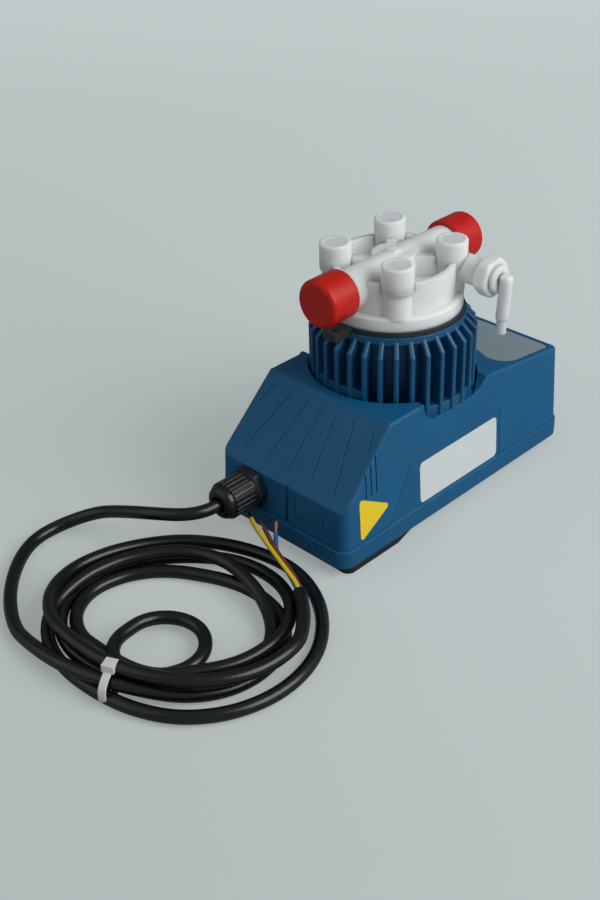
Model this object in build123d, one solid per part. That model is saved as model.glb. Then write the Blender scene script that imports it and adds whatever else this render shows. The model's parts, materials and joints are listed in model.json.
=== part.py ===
from build123d import *
import os
from math import cos, radians, sin, sqrt, tan

# Compact solenoid-driven diaphragm metering pump, lying on its wall bracket.
# Pump frame while building: X along the housing from the mains inlet (0) to the control panel,
# Y across it, Z up from the bracket's back face, all in millimetres.
# Every node is moved at the end so that the origin is the bottom centre of the pump without its lead.

# ---- housing -------------------------------------------------------------------------------
HOUSING_L = 210.4
HOUSING_W = 107.0
WALL = 3.0
DRAFT = 3.0                      # degrees, all side walls
CORNER_R = 8.0                   # vertical corners
BRACKET_T = 6.0
COVER_H = 12.0                   # height of the rear cover's skirt
LIP_X = 1.0                      # the skirt stands proud of the housing at its ends
LIP_Y = 0.3
DECK_Z = 84.7
CREASE_X = 44.5                  # top of the sloping front
SLOPE_ANGLE = 45.0
TILT_X = 92.3                    # the panel deck falls away from here
TILT_ANGLE = 7.3
EDGE_R = 2.0

# ---- finned drum ---------------------------------------------------------------------------
DRUM_X = 101.5
FIN_COUNT = 33
FIN_T = 3.1
FIN_R = 50.7
CORE_R = 40.0
COLLAR_R = 43.8
RECESS_Z = 71.5                  # floor of the drum's recess
RECESS_GAP = 1.2
DRUM_TOP_Z = 122.4
FIN_CORNER_Z = DRUM_TOP_Z - 9.7
FIN_TOP_Z = DRUM_TOP_Z - 2.2
DRUM_WEB_T = 5.0
BASE_RING_H = 6.5
HIGH_RING_H = 17.5
HIGH_RING_ANGLES = (138.0, 202.0)
RING_STEP = 1.4                  # the base rings stay this far inside the fins' edges
TROUGH_X = (DRUM_X - 28.0, DRUM_X + 34.0)    # scooped openings beside the drum
TROUGH_R = (11.0, 20.0)          # their rounded ends
FIN_EDGE_R = 1.2
COLLAR_H = 4.2

# ---- solenoid inside the drum --------------------------------------------------------------
BORE_R = 28.5
FIT = 0.2                        # clearance between assembled inner pieces
BACK_PLATE_T = 4.0
BACK_RIM_H = 4.5
REAR_PLATE_T = 4.0
YOKE_WALL = 2.8
POLE_FLANGE_T = 4.2
POLE_R = 14.0
POLE_FACE_Z = DRUM_TOP_Z - 22.4
ARMATURE_R = 13.8
ARMATURE_L = 20.0
STROKE = 1.25
AIR_GAP = 1.4
SHAFT_R = 3.0
SHAFT_GRIP = 5.0
BUSH_WALL = 2.0
SPRING_R = 7.6
SPRING_WIRE = 1.4
SPRING_TURNS = 5
SPRING_SEAT = 6.0
SPRING_ROOM = 1.4
COIL_R = 24.0

# ---- liquid end ----------------------------------------------------------------------------
RING_R = 42.6
RING_T = 2.9
HEAD_Z = DRUM_TOP_Z + RING_T
RING_BORE_R = 24.0
LUG_HALF_W = 5.5
LUG_REACH = 56.0
HEAD_R = 41.7
FLANGE_T = 8.0
WALL_R = 37.0
HEAD_WALL = 3.4
HEAD_WALL_TOP = HEAD_Z + 27.7
BOSS_OFFSET = 24.0
BOSS_R = 8.4
CAP_R = 9.5
CAP_SPLIT_Z = HEAD_Z + 22.7
CAP_TOP_Z = HEAD_Z + 39.2
PORT_Z = HEAD_Z + 21.2
MANIFOLD_R = 11.7
PORT_R = 11.4
SUCTION_FACE_X = DRUM_X - 41.5
SUCTION_MOUTH_X = DRUM_X - 63.3
SUCTION_INNER_X = DRUM_X - 35.5  # inner end of the valve's bore
SUCTION_SEAT_X = DRUM_X - 47.5
DISCHARGE_FACE_X = DRUM_X + 45.5
DISCHARGE_MOUTH_X = DRUM_X + 64.9
DISCHARGE_INNER_X = DRUM_X + 37.5
DISCHARGE_SEAT_X = DRUM_X + 45.5
PORT_BORE_R = 7.0
WEB_T = 6.0
WEB_TOP = HEAD_Z + 29.2
HUB_R = 13.0
HUB_TOP = HEAD_Z + 31.7
HEAD_POCKET_Z = HEAD_Z + 16.7
BUMP = 7.0
DIAPHRAGM_R = 31.0
DIAPHRAGM_T = 2.1
DIAPHRAGM_CORE_R = 14.0
CHAMBER_R = 24.0
CHAMBER_H = 4.6
PASSAGE_X = (DRUM_X - 17.0, DRUM_X + 17.0)   # bores between chamber and manifold
BALL_R = 4.76
BALL_CAGE_R = 5.2
SEAT_BORE_R = 3.0
BALL_LIFT = 2.0
SEAT_LENGTH = 22.0
PORT_CAP_R = 14.5
PORT_CAP_WALL = 2.6
PORT_CAP_L = 21.3
PORT_CAP_FIT = 0.3
HEAD_SCREW_R = 2.5
HEAD_SCREW_HEAD_R = 4.3
HEAD_SCREW_HEAD_T = 5.0
CAP_LAP = 4.0                    # the caps reach down over the towers by this much

# ---- priming valve -------------------------------------------------------------------------
VALVE_X = DRUM_X + 28.5
VALVE_BOSS_R = 8.6
VALVE_BOSS_END = 44.0            # distance from the pump's middle plane
VALVE_BORE_END = 34.0
SPINDLE_R = 5.0
SPINDLE_NECK_R = 4.0
RUN_FIT = 0.08                   # radial running clearance
KNOB_T = 8.6
KNOB_FLATS = 22.0
KNOB_GAP = 1.2                   # between boss and knob, closed valve
COLLAR_NOZZLE_R = 8.2
NOZZLE_R = 3.9
NOZZLE_TIP_R = 3.1
NOZZLE_DROP = 32.4
NOZZLE_TIP_L = 9.4
NOZZLE_REACH = 7.0              # from the knob's face to the spout's middle
NOZZLE_LEAN = 5.0

# ---- cable gland and lead ------------------------------------------------------------------
GLAND_Y = 24.7
GLAND_Z = 30.4
GLAND_FLATS = 24.0
GLAND_FACE_X = 2.9               # spot-faced seat in the drafted end wall
GLAND_INNER_X = 8.0
GLAND_PAD_R = 14.2
GLAND_HEX_T = 6.0
GLAND_THREAD_R = 9.9
GLAND_NUT_R = 11.8
GLAND_NUT_L = 16.5
GLAND_DOME_L = 5.5
GLAND_MOUTH_R = 5.2
FLUTES = 24
FLUTE_R = 0.75
CORD_R = 4.0
WIRE_R = 1.3
STRAND_R = 0.8

# ---- derived places ------------------------------------------------------------------------
SEAM_Z = BRACKET_T + COVER_H
FLANGE_TOP = HEAD_Z + FLANGE_T
WEB_UNDER = DRUM_TOP_Z - DRUM_WEB_T
RECESS_R = FIN_R + RECESS_GAP
REAR_PLATE_Z = RECESS_Z + BACK_PLATE_T + BACK_RIM_H
YOKE_Z = REAR_PLATE_Z + REAR_PLATE_T
YOKE_R = BORE_R - FIT
POLE_TOP = WEB_UNDER
SOCKET_TOP = HEAD_Z - 1.5
ARMATURE_TOP = POLE_FACE_Z - AIR_GAP
ARMATURE_Z = ARMATURE_TOP - ARMATURE_L
SHAFT_FOOT = ARMATURE_TOP - SPRING_SEAT - SHAFT_GRIP
KNOB_Y = -(VALVE_BOSS_END + KNOB_GAP)
NOZZLE_Y = KNOB_Y - KNOB_T - NOZZLE_REACH
NECK_END = NOZZLE_Y + NOZZLE_R
GLAND_HEX_X = GLAND_FACE_X - GLAND_HEX_T
GLAND_NUT_X = GLAND_HEX_X - GLAND_NUT_L
GLAND_END = GLAND_NUT_X - GLAND_DOME_L
BALL_SEAT_DX = sqrt(BALL_R**2 - SEAT_BORE_R**2)
TILT = radians(TILT_ANGLE)

# ---- housing: details -----------------------------------------------------------------------
TAB_X = (41.7, 145.0)            # foot of the label tab on each side
TAB_TOP_X = 61.0                 # where its slanted end reaches the top
TAB_TOP_Z = 51.4
TAB_T = 1.3
SEAM_GAP = 0.4
FAN_LINES = ((0.0, 0.0), (18.3, 11.0), (37.5, 25.0), (44.0, 40.0))   # y at the foot and the top of the slope
FAN_FOOT_X = (8.6, 8.6, 8.6, 30.0)
FAN_TOP_X = 39.5
LINE_W = 0.9
LINE_DEPTH = 0.5
GROOVE_X = (21.6, 26.1, 30.5)
GROOVE_Z = 46.0
KNOCKOUT = (-34.9, -11.8, 24.6, 38.6)    # y0, y1, z0, z1 of the outlined blank cable entry
FRAME_W = 0.8                    # width and depth of its outline
FRAME_DEPTH = 0.7
RIB_GROOVE_Y = -5.5
RIB_GROOVE_W = 2.2
RIB_GROOVE_DEPTH = 1.3
RIB_GROOVE_TOP = 60.0
PANEL_MARGIN = 3.6
PANEL_END_X = HOUSING_L - 8.4
PANEL_ARC_R = 62.0
PANEL_CORNER_R = 12.0
PANEL_DEPTH = 0.9
PANEL_T = 0.6
PANEL_FIT = 0.3
DECK_ALONG = (cos(TILT), 0, -sin(TILT))
DECK_NORMAL = (sin(TILT), 0, cos(TILT))
DECK_PLANE = Plane(origin=(TILT_X, 0, DECK_Z), x_dir=DECK_ALONG, z_dir=DECK_NORMAL)
DRUM_SCREW_R = 34.0
DRUM_SCREW_HOLE = 2.2
POST_X = (13.0, HOUSING_L / 2, HOUSING_L - 14.4)     # cover screws' posts
POST_Y = HOUSING_W / 2 - 9.5
POST_R = 4.2
COVER_SCREW_R = 1.9

# ---- rear cover, gasket and bracket: details ------------------------------------------------
COVER_WALL = 5.0
COVER_BACK = 3.0
GASKET = 1.6
GASKET_INSET = 2.4
SCREW_HEAD_R = 3.6
SCREW_HEAD_T = 2.4
SCREW_R = 1.7
SOCKET_DEPTH = 1.2
PILLAR_R = 3.0
POWER_BOARD_Z = 22.0
CONTROL_BOARD_Z = 50.0
BOARD_HALF_W = HOUSING_W / 2 - 18.5
POWER_BOARD = (44.0, 128.0, -BOARD_HALF_W, BOARD_HALF_W)
CONTROL_BOARD = (HOUSING_L - 70.4, HOUSING_L - 20.4, -BOARD_HALF_W, BOARD_HALF_W)
BOARD_T = 1.6
BOARD_EDGE = 5.0                 # from a board's edge to its pillars
MOUNT_X = (28.0, HOUSING_L - 38.4)   # wall bolts through the bracket
MOUNT_Y = HOUSING_W / 2 - 17.5
MOUNT_R = 2.65
BOLT_HEAD_R = 5.5
BOLT_HEAD_T = 3.5
BRACKET_SCREW_X = (62.0, HOUSING_L - 72.4)
BRACKET_SCREW_Y = 28.0
BRACKET_X = (5.9, HOUSING_L - 17.4)
BRACKET_WIDE = HOUSING_W / 2 - 2.1
BRACKET_NARROW = HOUSING_W / 2 - 7.2
BRACKET_TAPER_X = (50.0, 72.0)
BRACKET_RIM = 3.0
BRACKET_WEB = 2.6
BRACKET_RIB_X = (HOUSING_L * 0.23, HOUSING_L * 0.475, HOUSING_L * 0.72)
BRACKET_RIB_Y = (-18.0, 0.0, 18.0)
RIB_HALF_T = 1.0
COVER_SCREW_L = 20.0
BRACKET_SCREW_L = 9.0
BRACKET_SINK = 0.6

# ---- finned drum: details -------------------------------------------------------------------
GUIDE_R = 12.0
FOOT_HOLE_DEPTH = 13.0
DRUM_TAP_R = 2.0
SCREW_TIP_Z = DRUM_TOP_Z - 26.4

# ---- solenoid: details ----------------------------------------------------------------------
BOBBIN_WALL = 1.4
COIL_GAP = 0.3

# ---- priming valve: details -----------------------------------------------------------------
O_RING_Y = (37.0, 40.5)
O_RING_T = 1.6
O_RING_DEPTH = 1.0
KNOB_TURN = 8.0                  # how far the knob's flats are turned from upright

# ---- overlays: details ----------------------------------------------------------------------
LABEL_X = (68.3, 141.7)
LABEL_Z = (19.6, 47.4)
LABEL_R = 3.0
LABEL_T = 0.25
SIGN_CORNERS = ((15.4, 48.6), (41.3, 33.6), (15.4, 19.4))

# ---- electronics: details -------------------------------------------------------------------
BIG_CAN_R = 6.5
BIG_CAN_H = 22.0
BIG_CAN_X = 56.0
BIG_CAN_Y = 18.0
SMALL_CAN_R = 4.0
SMALL_CAN_H = 14.0
SMALL_CAN_PLACE = (70.0, 26.0)
TRANSFORMER = (78.0, 108.0, 16.0, 26.0)      # x0, x1, half width, height
HEAT_SINK = (113.0, 123.0, 25.0, 20.0)
SINK_BASE_T = 4.0
SINK_FINS = 6
SINK_FIN_T = 1.0
BOARD_BLOCKS = (                 # x0, x1 from the board's end, y0, y1, height
    (10.0, 22.0, -8.0, 8.0, 7.0),
    (28.0, 38.0, 8.0, 22.0, 2.5),
    (28.0, 40.0, -24.0, -14.0, 6.0),
)
LAMP_COUNT = 4
LAMP_X = 10.0
LAMP_Y = 20.0
LAMP_W = 3.0
LAMP_PITCH = 4.0
TERMINAL_PLACE = (66.0, 74.0, -5.0)          # x0, x1, y0
TERMINAL_WAYS = 4
TERMINAL_PITCH = 5.0
TERMINAL_H = 10.0
TERMINAL_HOLE_R = 1.6
COIL_LEAD_R = 1.0
COIL_LEAD_X = (DRUM_X - 4.5, DRUM_X - 11.5)
COIL_LEAD_Y = (4.0, 6.0)
COIL_LEAD_BENDS = (63.0, 57.0)
COIL_LEAD_END_H = 26.0

# ---- cable gland: details -------------------------------------------------------------------
GLAND_SEAL_R = 7.6
GLAND_SEAL_L = 12.0

# ---- lead: details --------------------------------------------------------------------------
# Route of the stretch that isn't coiled: out of the gland, down in a bend, round on the floor.
CORD_START_X = GLAND_NUT_X + 3 + GLAND_SEAL_L
CORD_ROUTE = [
    (CORD_START_X, GLAND_Y, GLAND_Z),
    (-37, GLAND_Y, GLAND_Z),
    (-55, 47, 29),
    (-60, 72, 21.5),
    (-63.5, 93, 13),
    (-80, 108, 5.5),
    (-101, 109.5, 4),
    (-122, 97, 4),
    (-143, 75, 4),
    (-158, 47, 4),
    (-161, 15, 4),
    (-153, -14, 4),
]
COIL_CENTRE = (-86.0, -12.0)
COIL_OUTER = (77.0, 82.0)
COIL_INNER = (38.0, 44.0)
COIL_H = 16.0
LOOP_CENTRE = (-114.0, -30.0)
LOOP_OUTER = (27.0, 26.0)
LOOP_INNER = (12.0, 11.0)
JACKET_END = (-37, -54, 15)
TAIL_ROUTE = [(-72, -76, 12), (-53, -70, 13), JACKET_END]
WIRE_SPREAD = 1.6                # from the lead's middle to each wire's middle
# each wire: its place in the jacket as an angle, then the points it passes
WIRES = {
    "earth": (90, [(-31, -37, 20), (-25, -16, 21.5), (-16, 4, 21.5), (-10.5, 14.5, 20.5)]),
    "line": (210, [(-30.5, -40, 16.5), (-24, -22, 17.5), (-16.5, -8, 19.5), (-11, 4.5, 20.5)]),
    "neutral": (330, [(-26.5, -42, 17), (-19.5, -26, 17.5), (-13, -14, 19.5), (-9, -4, 20.5)]),
}
STRIPPED = 7.0                   # bare end of each wire
TIE_PLACE = (-151.0, -26.0)
TIE_WIDTH = 4.6
TIE_T = 1.2
TIE_SPAN = (-166.0, -138.0)
TIE_CORNER_R = 6.0
TIE_LOCK = (-156.0, 7.0, 3.5)    # x, length, height

# origin: bottom centre of the pump itself
SHIFT = (
    -(GLAND_END + HOUSING_L) / 2,
    -(HOUSING_W / 2 + NOZZLE_Y - NOZZLE_R) / 2,
    0.0,
)


# ---- helpers -------------------------------------------------------------------------------
def box(x0, x1, y0, y1, z0, z1):
    """Box between opposite corners."""
    return Pos((x0 + x1) / 2, (y0 + y1) / 2, (z0 + z1) / 2) * Box(abs(x1 - x0), abs(y1 - y0), abs(z1 - z0))


def rod(r, z0, z1, x=DRUM_X, y=0.0):
    """Upright cylinder."""
    return Pos(x, y, (z0 + z1) / 2) * Cylinder(r, z1 - z0)


def rod_x(r, x0, x1, y, z):
    """Cylinder along X."""
    return Pos((x0 + x1) / 2, y, z) * Rot(0, 90, 0) * Cylinder(r, abs(x1 - x0))


def rod_y(r, y0, y1, x, z):
    """Cylinder along Y."""
    return Pos(x, (y0 + y1) / 2, z) * Rot(90, 0, 0) * Cylinder(r, abs(y1 - y0))


def ring(r_out, r_in, z0, z1, x=DRUM_X, y=0.0):
    """Upright tube."""
    return rod(r_out, z0, z1, x, y) - rod(r_in, z0 - 1, z1 + 1, x, y)


def around(shape, count, start=0.0):
    """Copies of a shape turned about the drum's axis."""
    axis = Pos(DRUM_X, 0, 0)
    return [axis * Rot(0, 0, start + i * 360 / count) * Pos(-DRUM_X, 0, 0) * shape for i in range(count)]


def xz_prism(points, half_width, rounds=()):
    """Prism along Y from an outline in XZ; rounds lists (corner, radius)."""
    sketch = make_face(Polyline(*points, close=True))
    for corner, r in rounds:
        sketch = fillet(sketch.vertices().sort_by_distance(Vector(*corner))[0], r)
    return extrude(Plane.XZ * sketch, amount=half_width, both=True)


def deck_z(x):
    """Height of the deck at x."""
    return DECK_Z if x <= TILT_X else DECK_Z - (x - TILT_X) * tan(TILT)


# ---- housing -------------------------------------------------------------------------------
def drafted_body(inset=0.0):
    """Tapered block of the housing, its sloping front and falling deck, moved inwards by inset."""
    length = HOUSING_L - 2 * LIP_X - 2 * inset
    width = HOUSING_W - 2 * LIP_Y - 2 * inset
    footprint = Pos(HOUSING_L / 2, 0) * RectangleRounded(length, width, CORNER_R - inset)
    block = extrude(Plane.XY.offset(BRACKET_T) * footprint, amount=DECK_Z - BRACKET_T + 4, taper=DRAFT)
    slope = radians(SLOPE_ANGLE)
    crease = (CREASE_X + inset * tan(slope / 2), DECK_Z - inset)
    bend = (TILT_X, DECK_Z - inset)
    far_x = HOUSING_L + 20
    near_x = -60.0
    outline = [
        (near_x, -80),
        (near_x, crease[1] - (crease[0] - near_x) * tan(slope)),
        crease,
        bend,
        (far_x, deck_z(far_x) - inset / cos(TILT)),
        (far_x, -80),
    ]
    return block & xz_prism(outline, HOUSING_W)


def trough(grow=0.0):
    """Scooped opening across the deck beside the drum; grown outwards for the wall round it."""
    x0, x1 = TROUGH_X[0] - grow, TROUGH_X[1] + grow
    z0, z1 = RECESS_Z - grow, DECK_Z + TROUGH_R[1]
    rounds = [((x0, z0), TROUGH_R[0] + grow), ((x1, z0), TROUGH_R[1] + grow)]
    return xz_prism([(x0, z1), (x0, z0), (x1, z0), (x1, z1)], HOUSING_W, rounds)


def tab_outline(grow=0.0):
    """Prism through both side walls in the shape of the label tab."""
    points = [
        (TAB_X[0] - grow, SEAM_Z - 4),
        (TAB_X[0] - grow, SEAM_Z),
        (TAB_TOP_X - grow, TAB_TOP_Z + grow),
        (TAB_X[1] + grow, TAB_TOP_Z + grow),
        (TAB_X[1] + grow, SEAM_Z - 4),
    ]
    return xz_prism(points, HOUSING_W)


def slope_lines():
    """Fan of shallow moulded lines on the sloping front, the same on both sides of the middle."""
    cuts = []
    for (y_foot, y_top), x_foot in zip(FAN_LINES, FAN_FOOT_X):
        for side in ((1,) if y_foot == 0 else (1, -1)):
            foot = Vector(x_foot, side * y_foot, DECK_Z - (CREASE_X - x_foot) * tan(radians(SLOPE_ANGLE)))
            top = Vector(FAN_TOP_X, side * y_top, DECK_Z - (CREASE_X - FAN_TOP_X) * tan(radians(SLOPE_ANGLE)))
            normal = Vector(-sin(radians(SLOPE_ANGLE)), 0, cos(radians(SLOPE_ANGLE)))
            frame = Plane(origin=(foot + top) / 2, x_dir=top - foot, z_dir=normal)
            cuts.append(frame * Box((top - foot).length, LINE_W, 2 * LINE_DEPTH))
    return cuts


def wall_lines():
    """Grooves on the side walls and on the inlet end."""
    cuts = []
    for x in GROOVE_X:
        for side in (1, -1):
            y = side * (HOUSING_W / 2 - LIP_Y - (GROOVE_Z - BRACKET_T) * tan(radians(DRAFT)))
            groove = box(x - LINE_W / 2, x + LINE_W / 2, y - 1.2, y + 1.2, GROOVE_Z, DECK_Z)
            cuts.append(Pos(0, y, GROOVE_Z) * Rot(side * DRAFT, 0, 0) * Pos(0, -y, -GROOVE_Z) * groove)
    face = LIP_X + (GLAND_Z - BRACKET_T) * tan(radians(DRAFT))
    y0, y1, z0, z1 = KNOCKOUT
    frame = box(face - 2, face + FRAME_DEPTH, y0, y1, z0, z1)
    cuts.append(frame - box(face - 3, face + 3, y0 + FRAME_W, y1 - FRAME_W, z0 + FRAME_W, z1 - FRAME_W))
    groove_y = (RIB_GROOVE_Y - RIB_GROOVE_W / 2, RIB_GROOVE_Y + RIB_GROOVE_W / 2)
    cuts.append(box(face - 3, face + RIB_GROOVE_DEPTH, *groove_y, SEAM_Z + 1, RIB_GROOVE_TOP))
    return cuts


def panel_sketch(gap=0.0):
    """Outline of the overlay on the falling deck: straight far edge, arc round the drum, round corners."""
    half_w = HOUSING_W / 2 - LIP_Y - (DECK_Z - BRACKET_T) * tan(radians(DRAFT)) - PANEL_MARGIN - gap
    far = (PANEL_END_X - TILT_X) / cos(TILT) - gap
    near = (DRUM_X - TILT_X) / cos(TILT)
    sheet = Pos((near + far) / 2, 0) * Rectangle(far - near, 2 * half_w)
    sheet = sheet - Pos(near, 0) * Circle(PANEL_ARC_R + gap)
    sharp = [v for v in sheet.vertices() if v.X < far - 1]
    sheet = fillet(sharp, PANEL_CORNER_R - gap)
    square = [v for v in sheet.vertices() if v.X > far - 1]
    return fillet(square, 4.0)


def post_places():
    """Places of the six cover screws."""
    return grid(POST_X, POST_Y)


def main_housing():
    """Thin-walled upper housing with the drum's recess, open at the back."""
    outer = drafted_body() - box(-20, HOUSING_L + 20, -HOUSING_W, HOUSING_W, 0, SEAM_Z)
    deck_edges = outer.edges().filter_by(lambda e: e.center().Z > 45 and abs(e.center().Y) > 40)
    outer = fillet(deck_edges, EDGE_R)
    shell = outer - drafted_body(WALL)
    cup = (rod(RECESS_R + WALL, RECESS_Z - WALL, DECK_Z + 2) + trough(WALL)) & drafted_body()
    body = shell + cup
    body = body - rod(RECESS_R, RECESS_Z, DECK_Z + 8) - trough()
    body = body - rod(BORE_R - 3.0, RECESS_Z - WALL - 1, RECESS_Z + 1)
    for x, y in post_places():
        post = rod(POST_R, SEAM_Z, RECESS_Z, x, y) & drafted_body()
        body = body + post
    for x, y in post_places():
        body = body - rod(COVER_SCREW_R, SEAM_Z - 1, SEAM_Z + 15, x, y)
    tab_recess = (drafted_body(-1.5) - drafted_body(TAB_T + FIT)) & tab_outline(SEAM_GAP)
    body = body - tab_recess
    for cut in slope_lines() + wall_lines():
        body = body - cut
    sheet = DECK_PLANE * panel_sketch(-PANEL_FIT)
    body = body - extrude(sheet, amount=-PANEL_DEPTH) - extrude(sheet, amount=PANEL_DEPTH)
    screw = rod(DRUM_SCREW_HOLE, RECESS_Z - WALL - 1, RECESS_Z + 1, DRUM_X + DRUM_SCREW_R, 0)
    for cut in around(screw, 4):
        body = body - cut
    pad = rod_x(GLAND_PAD_R, LIP_X, GLAND_INNER_X, GLAND_Y, GLAND_Z) & drafted_body()
    pad = pad - box(-5, 20, 0, HOUSING_W / 2, 0, SEAM_Z)
    body = body + pad - rod_x(GLAND_PAD_R, -3, GLAND_FACE_X, GLAND_Y, GLAND_Z)
    return body - rod_x(GLAND_THREAD_R + FIT, -3, GLAND_INNER_X + 1, GLAND_Y, GLAND_Z)


# ---- rear cover, gasket and bracket --------------------------------------------------------


def board_pillars(board):
    """Places of the four pillars under a board."""
    x0, x1, y0, y1 = board
    return [(x, y) for x in (x0 + BOARD_EDGE, x1 - BOARD_EDGE) for y in (y0 + BOARD_EDGE, y1 - BOARD_EDGE)]


def grid(xs, y):
    """Places at each x on both sides of the middle."""
    return [(x, side * y) for x in xs for side in (1, -1)]


def outline(inset, z0, z1, corner=CORNER_R + 1):
    """Block with the cover's rounded outline."""
    sketch = RectangleRounded(HOUSING_L - 2 * inset, HOUSING_W - 2 * inset, corner - inset)
    return extrude(Plane.XY.offset(z0) * Pos(HOUSING_L / 2, 0) * sketch, amount=z1 - z0)


def rear_cover():
    """Back tray with its skirt, the two label tabs, screw posts and board pillars."""
    skirt = outline(0, BRACKET_T, SEAM_Z)
    edges = skirt.edges().filter_by(Plane.XY)
    skirt = fillet(edges, 0.8)
    tray = skirt - outline(COVER_WALL, BRACKET_T + COVER_BACK, SEAM_Z + 1)
    groove = outline(GASKET_INSET, SEAM_Z - GASKET, SEAM_Z + 1)
    groove = groove - outline(GASKET_INSET + GASKET, SEAM_Z - GASKET - 1, SEAM_Z + 2)
    skin = (drafted_body() - drafted_body(TAB_T)) & tab_outline()
    skin = skin - box(-20, HOUSING_L + 20, -HOUSING_W, HOUSING_W, 0, SEAM_Z - 1)
    tray = tray - groove + skin
    for x, y in post_places():
        tray = tray + rod(POST_R + 0.8, BRACKET_T, SEAM_Z, x, y)
    for x, y in board_pillars(POWER_BOARD):
        tray = tray + rod(PILLAR_R, BRACKET_T, POWER_BOARD_Z, x, y)
    for x, y in board_pillars(CONTROL_BOARD):
        tray = tray + rod(PILLAR_R, BRACKET_T, CONTROL_BOARD_Z, x, y)
    for x, y in grid(MOUNT_X, MOUNT_Y):
        tray = tray + rod(BOLT_HEAD_R + 2.5, BRACKET_T, BRACKET_T + BOLT_HEAD_T + 2.5, x, y)
    for x, y in grid(BRACKET_SCREW_X, BRACKET_SCREW_Y):
        tray = tray + rod(POST_R, BRACKET_T, SEAM_Z - 2, x, y)
    for x, y in post_places():
        tray = tray - rod(SCREW_HEAD_R + FIT, BRACKET_T - 1, BRACKET_T + SCREW_HEAD_T + FIT, x, y)
        tray = tray - rod(COVER_SCREW_R, BRACKET_T, SEAM_Z + 1, x, y)
    for x, y in grid(MOUNT_X, MOUNT_Y):
        tray = tray - rod(BOLT_HEAD_R, BRACKET_T - 1, BRACKET_T + BOLT_HEAD_T, x, y)
    for x, y in grid(BRACKET_SCREW_X, BRACKET_SCREW_Y):
        tray = tray - rod(COVER_SCREW_R, BRACKET_T - 1, SEAM_Z - 4, x, y)
    return tray


def cover_gasket():
    """Square cord in the groove of the cover's rim."""
    seal = outline(GASKET_INSET, SEAM_Z - GASKET, SEAM_Z)
    return seal - outline(GASKET_INSET + GASKET, SEAM_Z - GASKET - 1, SEAM_Z + 1)


def screw(x, y, head_z, length, head_r, head_t, shank_r, up=1):
    """Socket screw: head from head_z, shank upwards (up=1) or downwards (up=-1)."""
    neck = head_z + up * head_t
    tip = neck + up * length
    head = rod(head_r, min(head_z, neck), max(head_z, neck), x, y)
    shank = rod(shank_r, min(neck, tip), max(neck, tip), x, y)
    opening, floor = head_z - up, head_z + up * SOCKET_DEPTH
    return head + shank - rod(head_r / 2, min(opening, floor), max(opening, floor), x, y)


def cover_screws():
    """Six screws from the back into the housing's posts."""
    sizes = (BRACKET_T + FIT, COVER_SCREW_L, SCREW_HEAD_R, SCREW_HEAD_T, SCREW_R)
    return [screw(x, y, *sizes) for x, y in post_places()]


def bracket_block(inset, z0, z1):
    """Block with the bracket's outline: wide at the inlet end, narrower behind the label."""
    x0, x1 = BRACKET_X[0] + inset, BRACKET_X[1] - inset
    wide, narrow = BRACKET_WIDE - inset, BRACKET_NARROW - inset
    t0, t1 = BRACKET_TAPER_X
    half = [(x0, wide), (t0, wide), (t1, narrow), (x1, narrow)]
    points = half + [(x, -y) for x, y in reversed(half)]
    sketch = make_face(Polyline(*points, close=True))
    sketch = fillet(sketch.vertices(), 5.0 if inset == 0 else 3.0)
    return extrude(Plane.XY.offset(z0) * sketch, amount=z1 - z0)


def wall_bracket():
    """Black mounting plate: rim, web under the pump, ribs, wall-bolt bosses."""
    plate = bracket_block(0, 0, BRACKET_T)
    pocket = bracket_block(BRACKET_RIM, -1, BRACKET_T - BRACKET_WEB)
    for y in BRACKET_RIB_Y:
        pocket = pocket - box(0, HOUSING_L, y - RIB_HALF_T, y + RIB_HALF_T, -2, BRACKET_T)
    for x in BRACKET_RIB_X:
        pocket = pocket - box(x - RIB_HALF_T, x + RIB_HALF_T, -HOUSING_W, HOUSING_W, -2, BRACKET_T)
    for x, y in grid(MOUNT_X, MOUNT_Y):
        pocket = pocket - rod(BOLT_HEAD_R + 1.5, -2, BRACKET_T, x, y)
    for x, y in grid(BRACKET_SCREW_X, BRACKET_SCREW_Y):
        pocket = pocket - rod(POST_R + 1.5, -2, BRACKET_T, x, y)
    plate = plate - pocket
    for x, y in grid(MOUNT_X, MOUNT_Y):
        plate = plate - rod(MOUNT_R, -1, BRACKET_T + 1, x, y)
    for x, y in grid(BRACKET_SCREW_X, BRACKET_SCREW_Y):
        plate = plate - rod(SCREW_R + FIT, -1, BRACKET_T + 1, x, y)
        plate = plate - rod(SCREW_HEAD_R + FIT, -1, SCREW_HEAD_T + BRACKET_SINK, x, y)
    return plate


def bracket_screws():
    """Four screws that hold the pump on its bracket."""
    places = grid(BRACKET_SCREW_X, BRACKET_SCREW_Y)
    sizes = (BRACKET_SINK, BRACKET_SCREW_L, SCREW_HEAD_R, SCREW_HEAD_T, SCREW_R)
    return [screw(x, y, *sizes) for x, y in places]


# ---- finned drum ---------------------------------------------------------------------------
def sector(r, a0, a1):
    """Plan wedge about the drum's axis between two angles."""
    mid = radians((a0 + a1) / 2)
    reach = r / cos(radians((a1 - a0) / 2))
    corners = [(0, 0), (reach * cos(radians(a0)), reach * sin(radians(a0)))]
    corners += [(reach * cos(mid), reach * sin(mid)), (reach * cos(radians(a1)), reach * sin(radians(a1)))]
    return make_face(Polyline(*corners, close=True))


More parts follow.
